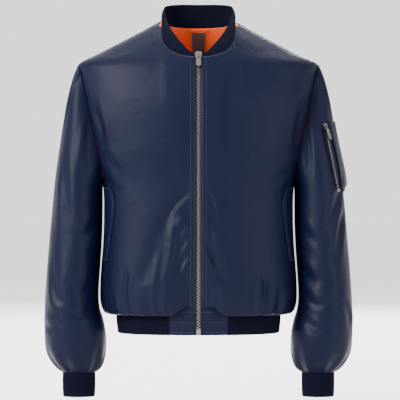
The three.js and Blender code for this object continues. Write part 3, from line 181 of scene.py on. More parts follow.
def lengths_of(points):
    """How far along a line of points each of them lies."""
    steps = np.linalg.norm(np.diff(points, axis=0), axis=1)
    return np.concatenate([[0], np.cumsum(steps)])


def smooth_table(rows):
    """A smooth curve through the rows of a table, read at a value of its first column."""
    table = np.array(rows, float)
    keys, values = table[:, 0], table[:, 1:]
    order = np.arange(len(keys))
    before, after = np.maximum(order - 1, 0), np.minimum(order + 1, len(keys) - 1)
    slopes = (values[after] - values[before]) / (keys[after] - keys[before])[:, None]

    def at(key):
        key = np.asarray(key, float)
        i = np.clip(np.searchsorted(keys, key) - 1, 0, len(keys) - 2)
        step = (keys[i + 1] - keys[i])[..., None]
        t = np.clip((key - keys[i]) / step[..., 0], 0, 1)[..., None]
        start, end = values[i], values[i + 1]
        leave, arrive = slopes[i] * step, slopes[i + 1] * step
        bend = 3 * (end - start) - 2 * leave - arrive
        result = start + t * (leave + t * (bend + t * (leave + arrive - 2 * (end - start))))
        return np.moveaxis(result, -1, 0)

    return at


def spread(rows, count):
    """Rows of numbers, the last three of them a point, set evenly along their line."""
    lengths = lengths_of(rows[:, -3:])
    even = np.linspace(0, lengths[-1], count + 1)
    return np.stack([np.interp(even, lengths, column) for column in rows.T], axis=1)


ring_at, zip_at, armhole_at = (smooth_table(t) for t in (BODY_RINGS, ZIP_LINE, ARMHOLE))


def oval(angle, half_width, half_depth, square):
    across = np.abs(np.sin(angle) / half_width) ** square
    return (across + np.abs(np.cos(angle) / half_depth) ** square) ** (-1 / square)


def body_point(angle, h):
    """The body's smooth surface. The angle is 0 at the centre front."""
    z, side, front, back, square = ring_at(h)
    ahead = np.cos(angle) > 0
    radius = oval(angle, side, np.where(ahead, front, back), square)
    x, y = radius * np.sin(angle), -radius * np.cos(angle)
    zip_z, zip_front = zip_at(h)
    near = 1 - smooth(np.abs(x), ZIP_STRAIGHT_TO, BLOUSED_FROM)
    near = np.where(ahead & (h <= ZIP_LINE[-1][0]), near, 0)
    return np.stack([x, y * (1 + near * (zip_front / front - 1)), z + near * (zip_z - z)], -1)


def angle_at(x, h, back):
    """The angle at which the surface is x wide, found by halving."""
    low, high = np.zeros_like(h, float), np.full_like(h, math.pi / 2, float)
    for _ in range(36):
        middle = (low + high) / 2
        short = body_point(math.pi - middle if back else middle, h)[..., 0] < x
        low, high = np.where(short, middle, low), np.where(short, high, middle)
    return math.pi - low if back else low


def placed(angle, h):
    """Rows of an angle, a height up the cloth and the point there."""
    return np.column_stack([angle, h, body_point(angle, h)])


def upper_edge(back):
    """The top of half a panel: along the neck, the shoulder seam and the armhole."""
    neck_rows = BACK_NECK if back else FRONT_NECK
    line = spread(np.array([(x, z, x, 0, z) for x, z in neck_rows], float), 60)
    neck = placed(angle_at(line[:, 0], line[:, 1], back), line[:, 1])
    tip, underarm = ARMHOLE[-1][0], ARMHOLE[0][0]
    h = np.linspace(0, tip, 61)
    shoulder = placed(np.full_like(h, math.pi / 2), h)
    h = tip + (underarm - tip) * (1 - np.cos(np.linspace(0, math.pi, 301))) / 2
    angle = angle_at(np.minimum(armhole_at(h)[0], ring_at(h)[1]), h, back)
    angle[[0, -1]] = math.pi / 2
    armhole = placed(angle, h)
    return np.vstack([spread(neck, NECK_LINES)[:-1], spread(shoulder, SHOULDER_LINES)[:-1],
                      spread(armhole, ARMHOLE_LINES)])


def level_edge(h, back, from_x):
    """Angles that share half a panel's width evenly at one height."""
    start = angle_at(np.array([from_x]), np.array([h], float), back)[0]
    angle = np.linspace(start, math.pi / 2, 201)
    return spread(placed(angle, np.full_like(angle, h)), PANEL_LINES)[:, 0]


CREASE_DEPTH = 1.9


def crease(x, z, path, wide, deep, raised=True):
    """A soft trough along a path, or a ridge where it is less than nothing deep. A raised one
    has a low ridge beside it, and fades towards both of its ends."""
    path = np.array(path, float)
    parts = np.linalg.norm(np.diff(path, axis=0), axis=1)
    nearest, along, hand = np.full(x.shape, 1e9), np.zeros(x.shape), np.ones(x.shape)
    for (x0, z0), (dx, dz), length, start in zip(
            path, np.diff(path, axis=0), parts, np.cumsum(parts) - parts):
        t = np.clip(((x - x0) * dx + (z - z0) * dz) / length**2, 0, 1)
        off_x, off_z = x - x0 - t * dx, z - z0 - t * dz
        away = np.hypot(off_x, off_z)
        closer = away < nearest
        nearest = np.where(closer, away, nearest)
        along = np.where(closer, (start + t * length) / parts.sum(), along)
        hand = np.where(closer, np.sign(off_x * dz - off_z * dx), hand)
    u = nearest / wide
    if not raised:
        return deep * np.exp(-u * u)
    fade = (0.35 + 0.65 * smooth(along, 0, 0.3)) * (1 - 0.8 * smooth(along, 0.55, 1))
    ridge = 0.45 + 0.3 * hand
    return CREASE_DEPTH * deep * fade * (np.exp(-u * u) - ridge * np.exp(-((u - 1.7) ** 2)))


def body_fold(side, angle, h, place):
    """How far the cloth lies inside its smooth surface."""
    degrees = np.degrees(angle)
    rise = smooth(h, GATHERS_FOOT, GATHERS_FULL)
    deep = np.zeros_like(h)
    for _, at, depth, wide, reach in (row for row in GATHERS if row[0] == side):
        fade = 1 - smooth(h, GATHERS_TOP, GATHERS_TOP + reach)
        deep += depth * rise * fade * np.exp(-(((degrees - at) / wide) ** 2))
    apart = (180 - BACK_GATHERS_FROM) / len(BACK_GATHER_DEPTHS)
    for i in range(len(BACK_GATHER_DEPTHS)):
        at = BACK_GATHERS_FROM + apart * (i + 0.5 + 0.25 * math.sin(5 * i + side))
        depth = BACK_GATHER_DEPTHS[(i + side + 1) % len(BACK_GATHER_DEPTHS)]
        fade = 1 - smooth(h, GATHERS_TOP, GATHERS_TOP + 46 + 12 * depth)
        deep += depth * rise * fade * np.exp(-(((degrees - at) / BACK_GATHER_WIDTH) ** 2))
    chance = np.random.default_rng(11 + side)
    for i in range(FINE_GATHERS):
        share = (i + chance.uniform(0.15, 0.85)) / FINE_GATHERS
        at = FINE_GATHERS_FROM + FINE_GATHERS_SPAN * share
        depth, reach = chance.uniform(*FINE_GATHER_DEPTHS), chance.uniform(*FINE_GATHER_REACHES)
        fade = 1 - smooth(h, GATHERS_TOP - 10, GATHERS_TOP + reach)
        deep += depth * rise * fade * np.exp(-(((degrees - at) / FINE_GATHER_WIDTH) ** 2))
    ahead = degrees < 90
    creases = np.zeros_like(h)
    for row in FRONT_CREASES[side]:
        creases += crease(place[..., 0], place[..., 2], *row)
    behind = np.zeros_like(h)
    for row in BACK_CREASES:
        behind += crease(place[..., 0] * side, place[..., 2], *row)
    deep += np.where(ahead, creases, behind)
    zip_side = smooth(place[..., 0], ZIP_EDGE, 16)
    return np.where(ahead, deep * zip_side, deep)


def folded_point(side, angle, h):
    """The cloth's own surface, with its gathers and creases, on one side of the body."""
    place = body_point(angle, h)
    out = [place[..., 0] / OUT_WIDTH**2, place[..., 1] / OUT_DEPTH**2, np.zeros_like(h)]
    place = place - unit(np.stack(out, -1)) * body_fold(side, angle, h, place)[..., None]
    return place * np.array([side, 1, 1])


def half_panel(side, back):
    """Half a panel's points, in rows up from the hem and lines out to the side."""
    from_x = 0 if back else ZIP_EDGE
    top = upper_edge(back)
    middle, hem = level_edge(UNDERARM_H, back, from_x), level_edge(TURN_H, back, from_x)
    turned_h = np.linspace(BODY_RINGS[0][0], TURN_H, TURNED_ROWS + 1)[:-1]
    lines = []
    for c, end in enumerate(top):
        h = np.linspace(TURN_H, UNDERARM_H, 61)
        angle = hem[c] + (middle[c] - hem[c]) * smooth(h, TURN_H, UNDERARM_H)
        path = placed(angle, h)
        if c < len(top) - 1:
            t = np.sin(np.linspace(0, math.pi / 2, 121))[1:]
            h = UNDERARM_H + (end[1] - UNDERARM_H) * t
            start_x = path[-1, 2]
            angle = angle_at(start_x + (end[2] - start_x) * t**LINE_SWEEP, h, back)
            angle[-1] = end[0]
            path = np.vstack([path, placed(angle, h)])
        turned = np.full_like(turned_h, hem[c])
        if c == 0:
            turned = angle_at(np.full_like(turned_h, from_x), turned_h, back)
        lines.append(np.vstack([placed(turned, turned_h), spread(path, UPPER_ROWS)]))
    grid = np.stack(lines, axis=1)
    return folded_point(side, grid[..., 0], grid[..., 1])


def facing(grid, closed=False, axis=(0, 0)):
    """Normals of a grid of points, turned away from an upright axis, or from a tube's middle."""
    across = np.gradient(grid, axis=1)
    if closed:
        across = np.roll(grid, -1, axis=1) - np.roll(grid, 1, axis=1)
    normal = np.cross(across, np.gradient(grid, axis=0))
    normal /= np.linalg.norm(normal, axis=-1, keepdims=True) + 1e-12
    away = grid - np.array([*axis, 0])
    away[..., 2] = 0
    if closed:
        away = grid - grid.mean(axis=1, keepdims=True)
    return normal if (away * normal).sum() > 0 else -normal


def with_edges(grid, closed):
    """The grid with two more lines close to each of its edges, for the seams there."""
    for axis in (0,) if closed else (0, 1):
        g = np.moveaxis(grid, axis, 0)
        near = [g[0] + (g[1] - g[0]) * t for t in (0.2, 0.5)]
        far = [g[-1] + (g[-2] - g[-1]) * t for t in (0.5, 0.2)]
        grid = np.moveaxis(np.stack([g[0], *near, *g[1:-1], *far, g[-1]]), 0, axis)
    return grid


def added(name, data):
    made = bpy.data.objects.new(name, data)
    bpy.context.collection.objects.link(made)
    return made


def cloth(name, grid, wall, materials, closed=False, axis=(0, 0), sink=0.9, lift=0.0,
          folded=False, tucked=0.0):
    """A wall of cloth on a grid of points, with rounded edges and its own UV map in metres of
    cloth. The first material is the outside's and the second the inside's. Sink is how deep
    its edges are drawn in, lift how far it lies off the points, and tucked how far an edge
    reaches in under the piece that it is sewn to. Padding thins out towards a seam, but not
    at an edge that is folded."""
    grid = with_edges(np.asarray(grid, float), closed)
    normal = facing(grid, closed, axis)
    rows, lines = grid.shape[:2]
    drawn = np.zeros((rows, lines))
    for k, share in EDGE_DRAWN:
        drawn[[k, rows - 1 - k], :] = np.maximum(drawn[[k, rows - 1 - k], :], share)
        if not closed:
            drawn[:, [k, lines - 1 - k]] = np.maximum(drawn[:, [k, lines - 1 - k]], share)
    outer = grid + normal * (lift - sink * drawn)[..., None]
    number = np.arange(rows * lines).reshape(rows, lines)
    wide = outer
    if closed:
        number = np.concatenate([number, number[:, :1]], axis=1)
        wide = np.concatenate([outer, outer[:, :1]], axis=1)
    u = np.cumsum(np.linalg.norm(np.diff(wide, axis=1, prepend=wide[:, :1]), axis=-1), axis=1)
    v = np.cumsum(np.linalg.norm(np.diff(wide, axis=0, prepend=wide[:1]), axis=-1), axis=0)
    flat = np.stack([u, v], -1)
    if wall >= SHELL_WALL:
        far = [v, v[-1:] - v] if closed else [v, v[-1:] - v, u[:, -1:] - u] + [u] * (not folded)
        edge = np.minimum.reduce(far)[:, :lines]
        wall = wall * (THIN_SHARE + (1 - THIN_SHARE) * smooth(edge, 0, THIN_SEAM))
    inner = outer - normal * np.broadcast_to(wall, (rows, lines))[..., None]

    def quads(table):
        return np.stack([table[:-1, :-1], table[:-1, 1:], table[1:, 1:], table[1:, :-1]], 2)

    faces = quads(number).reshape(-1, 4)
    maps = quads(flat).reshape(-1, 4, 2)
    parts = [(faces, maps, 0), (faces[:, ::-1] + rows * lines, maps[:, ::-1], 1)]
    points, count = [outer.reshape(-1, 3), inner.reshape(-1, 3)], 2 * rows * lines
    if closed:
        loops = [(number[0, :-1], 1), (number[-1, :-1], -1)]
    else:
        edge = [number[0], number[1:, -1], number[-1, -2::-1], number[-2:0:-1, 0]]
        loops = [(np.concatenate(edge), 1)]
    for loop, hand in loops:
        r, k = np.divmod(loop, lines)
        beside = outer[np.clip(r, 1, rows - 2), k if closed else np.clip(k, 1, lines - 2)]
        away = unit(outer[r, k] - beside)
        thick = np.linalg.norm(outer[r, k] - inner[r, k], axis=-1, keepdims=True)
        points.append((outer[r, k] + inner[r, k]) / 2 + away * (thick * EDGE_BULGE + tucked))
        ridge = count + np.arange(len(loop))
        count += len(loop)
        edge_map = flat[r, k]
        next_map = np.roll(edge_map, -1, 0)
        edge_map = np.stack([edge_map, edge_map, next_map, next_map], 1)
        for near, far in ((loop, ridge), (ridge, loop + rows * lines)):
            strip = np.stack([near, far, np.roll(far, -1), np.roll(near, -1)], -1)
            parts.append((strip[:, ::hand], edge_map[:, ::hand], 0))
    points = np.concatenate(points)
    faces, maps = (np.concatenate([part[k] for part in parts]) for k in (0, 1))
    marks = np.concatenate([np.full(len(part[0]), part[2]) for part in parts])
    p0, p1, p2, p3 = (points[faces[:, k]] for k in range(4))
    if (p0 * np.cross(p1, p2)).sum() + (p0 * np.cross(p2, p3)).sum() < 0:
        faces, maps = faces[:, ::-1], maps[:, ::-1]
    mesh = bpy.data.meshes.new(name)
    mesh.from_pydata((points * MM).tolist(), [], faces.tolist())
    mesh.uv_layers.new(name="cloth").data.foreach_set("uv", (maps * MM).ravel())
    mesh.polygons.foreach_set("material_index", marks)
    mesh.polygons.foreach_set("use_smooth", np.ones(len(faces), bool))
    for material in materials:
        mesh.materials.append(material)
    return added(name, mesh)


class Value:
    """A socket of a material, on which sums add Math nodes."""

    def __init__(self, tree, socket):
        self.tree, self.socket = tree, socket

    def node(self, kind, settings, sockets, output=0):
        made = self.tree.nodes.new(kind)
        for name, value in settings.items():
            setattr(made, name, value)
        for name, value in sockets.items():
            if isinstance(value, Value):
                self.tree.links.new(value.socket, made.inputs[name])
            else:
                made.inputs[name].default_value = value
        return Value(self.tree, made.outputs[output])

    def maths(self, operation, first, second):
        return self.node("ShaderNodeMath", {"operation": operation}, {0: first, 1: second})

    def __add__(self, other):
        return self.maths("ADD", self, other)

    def __sub__(self, other):
        return self.maths("SUBTRACT", self, other)

    def __rsub__(self, other):
        return self.maths("SUBTRACT", other, self)

    def __mul__(self, other):
        return self.maths("MULTIPLY", self, other)

    __radd__ = __add__
    __rmul__ = __mul__

    def blend(self, first, second):
        """A colour between two others, by this value."""
        mix = {"data_type": "RGBA", "clamp_factor": True}
        return self.node("ShaderNodeMix", mix, {0: self, 6: first, 7: second}, 2)

    def noise(self, scale, detail=2.0, stretch=(1, 1, 1)):
        moved = self.node("ShaderNodeMapping", {}, {"Vector": self, "Scale": stretch})
        sizes = {"Vector": moved, "Scale": scale, "Detail": detail}
        return self.node("ShaderNodeTexNoise", {}, sizes, "Fac")

    def wave(self, pitch, turned=0.0):
        """Even lines a pitch apart, in metres, across the turned first axis."""
        moved = self.node("ShaderNodeMapping", {}, {"Vector": self, "Rotation": (0, 0, turned)})
        lines = {"Vector": moved, "Scale": 0.31416 / pitch, "Distortion": 0.0}
        return self.node("ShaderNodeTexWave", {}, lines, "Fac")


def finish(name, roughness, **constants):
    """A new material: its shader, its own UV map and its place, ready for nodes."""
    material = bpy.data.materials.new(name)
    material.use_nodes = True
    tree = material.node_tree
    shader = tree.nodes["Principled BSDF"]
    shader.inputs["Roughness"].default_value = roughness
    for socket, value in constants.items():
        shader.inputs[socket.replace("_", " ")].default_value = value
    where = tree.nodes.new("ShaderNodeTexCoord")
    maps = [Value(tree, where.outputs[output]) for output in ("UV", "Object")]
    return material, shader, *maps


def give(shader, socket, value):
    value.tree.links.new(value.socket, shader.inputs[socket])


def raise_cloth(shader, height, distance, strength=1.0):
    bump = height.node("ShaderNodeBump", {}, {"Height": height, "Distance": distance,
                                              "Strength": strength})
    give(shader, "Normal", bump)


def nylon(name, dark, light, roughness, sheen, sheen_tint):
    """Nylon twill: fine slanted lines, soft puckers and a satin gloss."""
    material, shader, cloth_map, place = finish(
        name, roughness, Sheen_Weight=sheen, Sheen_Roughness=0.45, Sheen_Tint=sheen_tint,
        Specular_IOR_Level=0.07)
    broad = place.noise(9, 3)
    twill = cloth_map.wave(0.0011, 0.7)
    thread = cloth_map.noise(2600, 1, (1, 0.25, 1))
    pucker = place.noise(30, 3)
    give(shader, "Base Color", (broad * 0.75 + twill * 0.1 + thread * 0.15).blend(dark, light))
    give(shader, "Roughness", roughness - 0.05 + 0.1 * broad)
    raise_cloth(shader, pucker * 0.9 + twill * 0.04 + thread * 0.04, 0.003, 0.6)
    return material


navy = nylon("navy_nylon", (0.0012, 0.0021, 0.0098, 1), (0.0021, 0.0033, 0.0140, 1), 0.42, 0.0,
             (0.35, 0.45, 1, 1))
orange = nylon("orange_nylon", (0.72, 0.075, 0.014, 1), (0.85, 0.14, 0.035, 1), 0.42, 0.15,
               (1, 0.6, 0.4, 1))

back_grid = np.concatenate([half_panel(-1, True)[:, ::-1], half_panel(1, True)[:, 1:]], axis=1)
front_grids = {side: half_panel(side, False) for side in (1, -1)}
SIDES = {"left": 1, "right": -1}


def worn(piece, node, body="jacket"):
    """The piece rides on its body and stands for its own solid."""
    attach(piece, body)
    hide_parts(node)
    return piece


back = worn(cloth("back_cloth", back_grid, SHELL_WALL, (navy, orange)), "back")
for name, side in SIDES.items():
    front = cloth(f"front_cloth_{name}", front_grids[side], SHELL_WALL, (navy, orange),
                  folded=True)
    worn(front, f"front_{name}")

# Sleeves. Each is one piece of the same padded nylon, closed along the underarm, set into the
# armhole and gathered into its cuff, full enough to fold at the elbow and over the cuff.
SLEEVE_SECTIONS = [  # row, inner x and z, outer x and z, half depth, middle of the depth, square
    (0, 204.5, -349, 256.5, -94, 62, 0, 2.2),
    (1, 204.6, -352, 268, -122, 68, 0, 2.2),
    (2, 204.6, -356, 280, -168, 74, -1, 2.15),
    (3, 204.6, -363, 290, -225, 78, -2, 2.1),
    (4, 204.6, -376, 299, -285, 80, -3, 2.1),
    (5, 204.7, -399, 307, -345, 81, -4, 2.1),
    (6, 205, -432, 312.5, -405, 81, -5, 2.1),
    (7, 207, -482, 318, -466, 80, -7, 2.1),
    (8, 210.5, -535, 323, -527, 79, -9, 2.1),
    (9, 213, -580, 326.5, -580, 78, -11, 2.1),
    (10, 211, -612, 328, -616, 77, -13, 2.1),
    (11, 202, -642, 328.5, -648, 76, -14, 2.1),
    (12, 197, -674, 327.5, -681, 74, -15, 2.1),
    (13, 197.5, -700, 324, -704, 69, -16, 2.1),
    (14, 201, -721, 315, -723, 60, -17, 2.1),
    (15, 207, -736, 304, -737, 49, -18, 2.1),
    (16, 213.5, -745, 295.5, -745, 39, -19, 2.1),
    (17, 218.5, -750, 290.5, -750, 32, -20, 2.1),
]
ARMHOLE_FADES_BY = 4.5  # the section down to which a sleeve still bends to its armhole
SLEEVE_ROWS = 110
SLEEVE_FOLDS = [  # side, place round the sleeve, section, reach along and round it, depth
    (1, 0.36, 6.4, 1.6, 0.05, 4),
    (1, 0.2, 10.6, 0.8, 0.08, 4),
    (1, 0.72, 8.4, 1.4, 0.06, 4),
    (-1, 0.14, 9.6, 0.9, 0.08, 4),
    (-1, 0.3, 7.2, 1.4, 0.06, 3),
    (-1, 0.74, 8.8, 1.2, 0.06, 4),
]
# Creases of the sleeves, as the fronts' are, but by place round the sleeve in hundredths and by
# section in tenths.
SLEEVE_CREASES = {
    1: [
        ([(40, 52), (33, 58), (27, 68)], 2.4, 2.4),
        ([(42, 60), (36, 66), (30, 78)], 2.2, 1.8),
        ([(12, 62), (20, 68), (27, 70)], 2.0, 1.8),
        ([(10, 78), (18, 84), (26, 84)], 2.4, 2.2),
        ([(12, 92), (20, 97), (30, 95)], 2.4, 2),
        ([(34, 96), (40, 104), (42, 114)], 2.2, 1.6),
        ([(14, 108), (22, 114), (30, 112)], 2.4, 2),
        ([(58, 66), (66, 74), (74, 76)], 2.6, 2.6),
        ([(60, 84), (70, 90), (80, 88)], 2.6, 2.4),
        ([(62, 104), (72, 108), (84, 104)], 2.6, 2),
        ([(24, 8), (22, 22), (20, 36)], 2.4, 1.8),
    ],
    -1: [
        ([(34, 40), (30, 56), (28, 72)], 3, 1.8),
        ([(12, 60), (19, 66), (25, 66)], 2.2, 1.8),
        ([(10, 84), (18, 88), (27, 86)], 2.4, 2.2),
        ([(36, 80), (32, 92), (26, 100)], 2.6, 1.8),
        ([(12, 100), (20, 105), (28, 102)], 2.4, 2),
        ([(30, 108), (38, 112), (44, 110)], 2.2, 1.6),
        ([(58, 62), (66, 72), (76, 74)], 2.6, 2.4),
        ([(60, 82), (70, 88), (82, 88)], 2.6, 2.4),
        ([(64, 100), (74, 106), (86, 104)], 2.6, 2),
        ([(26, 8), (23, 24), (21, 38)], 2.4, 1.8),
    ],
}
CUFF_GATHERS, CUFF_GATHER_DEPTH = 10, 3
FINE_CUFF_GATHERS, FINE_CUFF_GATHER_DEPTH = 23, 0.9
section_at = smooth_table(SLEEVE_SECTIONS)


def section_point(row, fraction):
    """A section's outline, from the point nearest the body over the front and round."""
    inner_x, inner_z, outer_x, outer_z, depth, y, square = section_at(row)
    inner, outer = np.array([inner_x, y, inner_z]), np.array([outer_x, y, outer_z])
    half_width, centre = np.linalg.norm(outer - inner) / 2, (inner + outer) / 2
    across = (outer - inner) / (2 * half_width)
    angle = np.linspace(0, math.pi, 91)
    radius = oval(angle, depth, half_width, square)
    outline = centre - np.outer(radius * np.cos(angle), across)
    outline[:, 1] -= radius * np.sin(angle)
    whole = np.asarray(fraction, float) % 1
    lengths = lengths_of(outline)
    lengths /= lengths[-1]
    read = np.where(whole <= 0.5, whole * 2, (1 - whole) * 2)
    place = np.stack([np.interp(read, lengths, outline[:, k]) for k in range(3)], -1)
    place[..., 1] = np.where(whole > 0.5, 2 * centre[1] - place[..., 1], place[..., 1])
    return place, centre


def sleeve_fold(side, fraction, row):
    deep = np.zeros_like(fraction)
    for _, at, section, along, around, depth in (f for f in SLEEVE_FOLDS if f[0] == side):
        off = np.abs(fraction - at)
        off = np.minimum(off, 1 - off)
        deep += depth * np.exp(-((off / around) ** 2) - ((row - section) / along) ** 2)
    tenths = np.full_like(fraction, row * 10)
    for entry in SLEEVE_CREASES[side]:
        deep += crease(fraction * 100, tenths, *entry)
    gathered = smooth(row, 11.5, 15) * (1 - smooth(row, 15.6, 17))
    turn = 2 * math.pi * fraction
    wave = np.sin(CUFF_GATHERS * turn + 0.24 * math.pi * np.sin(9 * fraction + side))
    late = smooth(row, 13.2, 15.6) * (1 - smooth(row, 16, 17.2))
    fine = np.sin(FINE_CUFF_GATHERS * turn + 1.7 * np.sin(3 * turn + side))
    return (deep + CUFF_GATHER_DEPTH * gathered * wave
            + FINE_CUFF_GATHER_DEPTH * late * fine)


def sleeve_points(side, fraction, row, armhole):
    place, centre = section_point(row, fraction)
    out = unit(place - centre)
    own = section_point(0, fraction)[0]
    place = place + (armhole - own) * (1 - smooth(row, 0, ARMHOLE_FADES_BY))
    return place - out * sleeve_fold(side, fraction, row)[..., None]


sleeve_grids, armholes = {}, {}
for name, side in SIDES.items():
    ahead = front_grids[side][-1, ::-1][:ARMHOLE_LINES + 1]
    half = back_grid[-1, PANEL_LINES:] if side == 1 else back_grid[-1, PANEL_LINES::-1]
    ring = np.concatenate([ahead, half[-ARMHOLE_LINES:-1]]) * np.array([side, 1, 1])
    armholes[side] = ring
    fraction = np.arange(len(ring)) / len(ring)
    rows = np.linspace(0, SLEEVE_SECTIONS[-1][0], SLEEVE_ROWS + 1)
    grid = np.stack([sleeve_points(side, fraction, row, ring) for row in rows])
    sleeve_grids[side] = grid * np.array([side, 1, 1])
    sleeve = cloth(f"sleeve_cloth_{name}", sleeve_grids[side], SHELL_WALL, (navy, orange),
                   closed=True, tucked=2.5)
    worn(sleeve, f"sleeve_{name}")

# Collar, hem band and cuffs. Rib knit, doubled over at its free edge and stretched onto the
# nylon as it is sewn, so that it draws in. The ribs stand on the outer face.
RIB_WALL = 3
RIB_HIGH = 0.8
RIB_POINTS = 6  # across each rib
RIBS = {"collar": 132, "hem": 236, "cuff": 62}
SEAM_INSET = 1.2  # how far inside the nylon's edge a band is sewn
BAND_OVERLAP = 1.5  # how far the hem band and the cuffs reach up behind the nylon
NECK_RADIUS, CUFF_RADIUS = 90, 34
COLLAR_EDGE = [
    (5.6, -101, -75), (15, -100.5, -74.5), (24, -97, -67), (40, -87, -49), (55, -68, -28),
    (65, -47, -9), (72, -22, 12), (75, 5, 26), (72, 29, 33), (59, 49, 37), (35, 63, 39),
    (0, 68, 39),
]
HEM_BOTTOM_Z = -666
HEM_RING = {"side": 172.5, "depth": 119, "depth_at_zip": 123, "square": 2.3}
TAB_LINES = 24  # of a panel's lines, those above the woven tab beside the zip
CUFF_TOP_Z, CUFF_BOTTOM_Z, CUFF_TAPER = -750, -801, 0.02


def knit(name):
    """Rib knit: matt yarn in fine rows of stitches."""
    material, shader, cloth_map, place = finish(
        name, 0.9, Sheen_Weight=0.01, Sheen_Roughness=0.6, Sheen_Tint=(0.4, 0.45, 0.8, 1),
        Specular_IOR_Level=0.04)
    courses = cloth_map.wave(0.0016, math.pi / 2)
    yarn = cloth_map.noise(1400, 3, (1, 0.6, 1))
    shade = yarn * 0.6 + place.noise(16, 2) * 0.4
    give(shader, "Base Color", shade.blend((0.0007, 0.0009, 0.0038, 1),
                                           (0.0018, 0.0022, 0.0080, 1)))
    raise_cloth(shader, courses * 0.5 + yarn * 0.5, 0.0004)
    return material


ribbed = knit("navy_rib_knit")


def read_line(points):
    """Reads a line of points at fractions of its length."""
    lengths = lengths_of(points)
    lengths /= lengths[-1]
    return lambda at: np.stack([np.interp(at, lengths, points[:, k]) for k in range(3)], -1)


def rib_band(name, seam, edge, ribs, rows, bulge, tuck=0.0, closed=False, middle=(0, 0)):
    """A knit band between the seam and the free edge, both read at fractions of their length.
    Tuck is the share of the band that lies hidden behind the cloth it is sewn to."""
    count = ribs * RIB_POINTS + (0 if closed else 1)
    at = np.arange(count) / (ribs * RIB_POINTS)
    t = np.linspace(-tuck, 1, rows + 1)[:, None, None]
    grid = seam(at) * (1 - t) + edge(at) * t
    out = unit((grid - np.array([*middle, 0])) * np.array([1, 1, 0]))
    flat = np.where(out[..., 1] < 0, smooth(np.abs(grid[..., 0]), 15, 60), 1)
    if closed:
        flat = np.ones_like(flat)
    grid = grid + out * (bulge * flat * np.sin(math.pi * np.maximum(t[..., 0], 0)))[..., None]
    normal = facing(grid, closed, middle)
    height = RIB_HIGH * (np.sqrt(0.5 + 0.5 * np.cos(2 * math.pi * at * ribs)) - 1)
    drawn = 0.55 + 0.45 * np.sin(math.pi * np.clip(t[..., 0], 0.02, 0.98)) ** 0.4
    grid = grid + normal * (height[None] * drawn)[..., None]
    return cloth(name, grid, RIB_WALL - RIB_HIGH, (ribbed, ribbed), closed=closed,
                 axis=middle, sink=0.3)


neck_seam = np.concatenate([
    front_grids[1][-1, :NECK_LINES],
    back_grid[-1, PANEL_LINES + NECK_LINES:PANEL_LINES - NECK_LINES:-1],
    front_grids[-1][-1, NECK_LINES::-1]])
half_edge = spread(np.array(COLLAR_EDGE, float), 60)
whole_edge = np.concatenate([half_edge, half_edge[-2::-1] * np.array([-1, 1, 1])])
neck_seam = neck_seam - SEAM_INSET * neck_seam * np.array([1, 1, 0]) / NECK_RADIUS
collar = rib_band("collar_knit", read_line(neck_seam), read_line(whole_edge), RIBS["collar"],
                  rows=12, bulge=2.5, tuck=0.1)
worn(collar, "collar_rib")


def hem_edge(place):
    """The hem's free edge below points of the seam, straight down beside the zip."""
    ahead = place[:, 1] < 0
    near = smooth(np.abs(place[:, 0]), ZIP_STRAIGHT_TO, BLOUSED_FROM)
    at_zip = HEM_RING["depth_at_zip"] * (1 - near) + HEM_RING["depth"] * near
    depth = np.where(ahead, at_zip, HEM_RING["depth"])
    angle = np.arctan2(place[:, 0], -place[:, 1])
    radius = oval(angle, HEM_RING["side"], depth, HEM_RING["square"])
    x = radius * np.sin(angle)
    beside_zip = ahead & (np.abs(place[:, 0]) < BLOUSED_FROM)
    x = np.where(beside_zip, place[:, 0] + (x - place[:, 0]) * near, x)
    return np.stack([x, -radius * np.cos(angle), np.full_like(x, HEM_BOTTOM_Z)], -1)


hem_seam = np.concatenate([
    front_grids[1][0, TAB_LINES:-1], back_grid[0, ::-1], front_grids[-1][0, TAB_LINES:-1][::-1]])
hem_seam = hem_seam + np.array([0, 0, BAND_OVERLAP])
read_seam = read_line(hem_seam)
hem = rib_band("hem_knit", read_seam, lambda at: hem_edge(read_seam(at)), RIBS["hem"],
               rows=10, bulge=1.5)
worn(hem, "hem_rib")

for name, side in SIDES.items():
    end = SLEEVE_SECTIONS[-1]
    middle = (side * (end[1] + end[3]) / 2, end[6])
    seam = sleeve_grids[side][-1] * np.array([1, 1, 0])
    seam[:, 2] = CUFF_TOP_Z + BAND_OVERLAP
    seam = seam - SEAM_INSET * (seam - [*middle, 0]) * np.array([1, 1, 0]) / CUFF_RADIUS
    free = seam - CUFF_TAPER * (seam - [*middle, 0]) * np.array([1, 1, 0])
    free[:, 2] = CUFF_BOTTOM_Z
    rings = [read_line(np.concatenate([ring, ring[:1]])) for ring in (seam, free)]
    cuff = rib_band(f"cuff_knit_{name}", *rings, RIBS["cuff"], rows=10, bulge=0.6, closed=True,
                    middle=middle)
    worn(cuff, f"cuff_{name}")

# Hem tabs. Two woven pieces of the shell's own nylon, stitched flat between the knit band and
# the zip, so that the zip has firm cloth beside it down to its foot.
TAB_ROWS, TAB_RIPPLES, TAB_RIPPLE_DEEP = 12, 5, 0.5
tab_grids = {}
for name, side in SIDES.items():
    seam = front_grids[side][0, :TAB_LINES + 1]
    t = np.linspace(0, 1, TAB_ROWS + 1)[:, None, None]
    across = np.sin(math.pi * np.linspace(0, 1, TAB_LINES + 1))[:, None]
    ripple = TAB_RIPPLE_DEEP * np.sin(math.pi * TAB_RIPPLES * t) * across
    tab_grids[side] = seam * (1 - t) + hem_edge(seam) * t
    grid = tab_grids[side] + ripple * np.array([0, 1, 0])
    tab = cloth(f"hem_tab_cloth_{name}", grid, SHELL_WALL, (navy, orange), sink=0.6,
                folded=True)
    worn(tab, f"hem_tab_{name}")

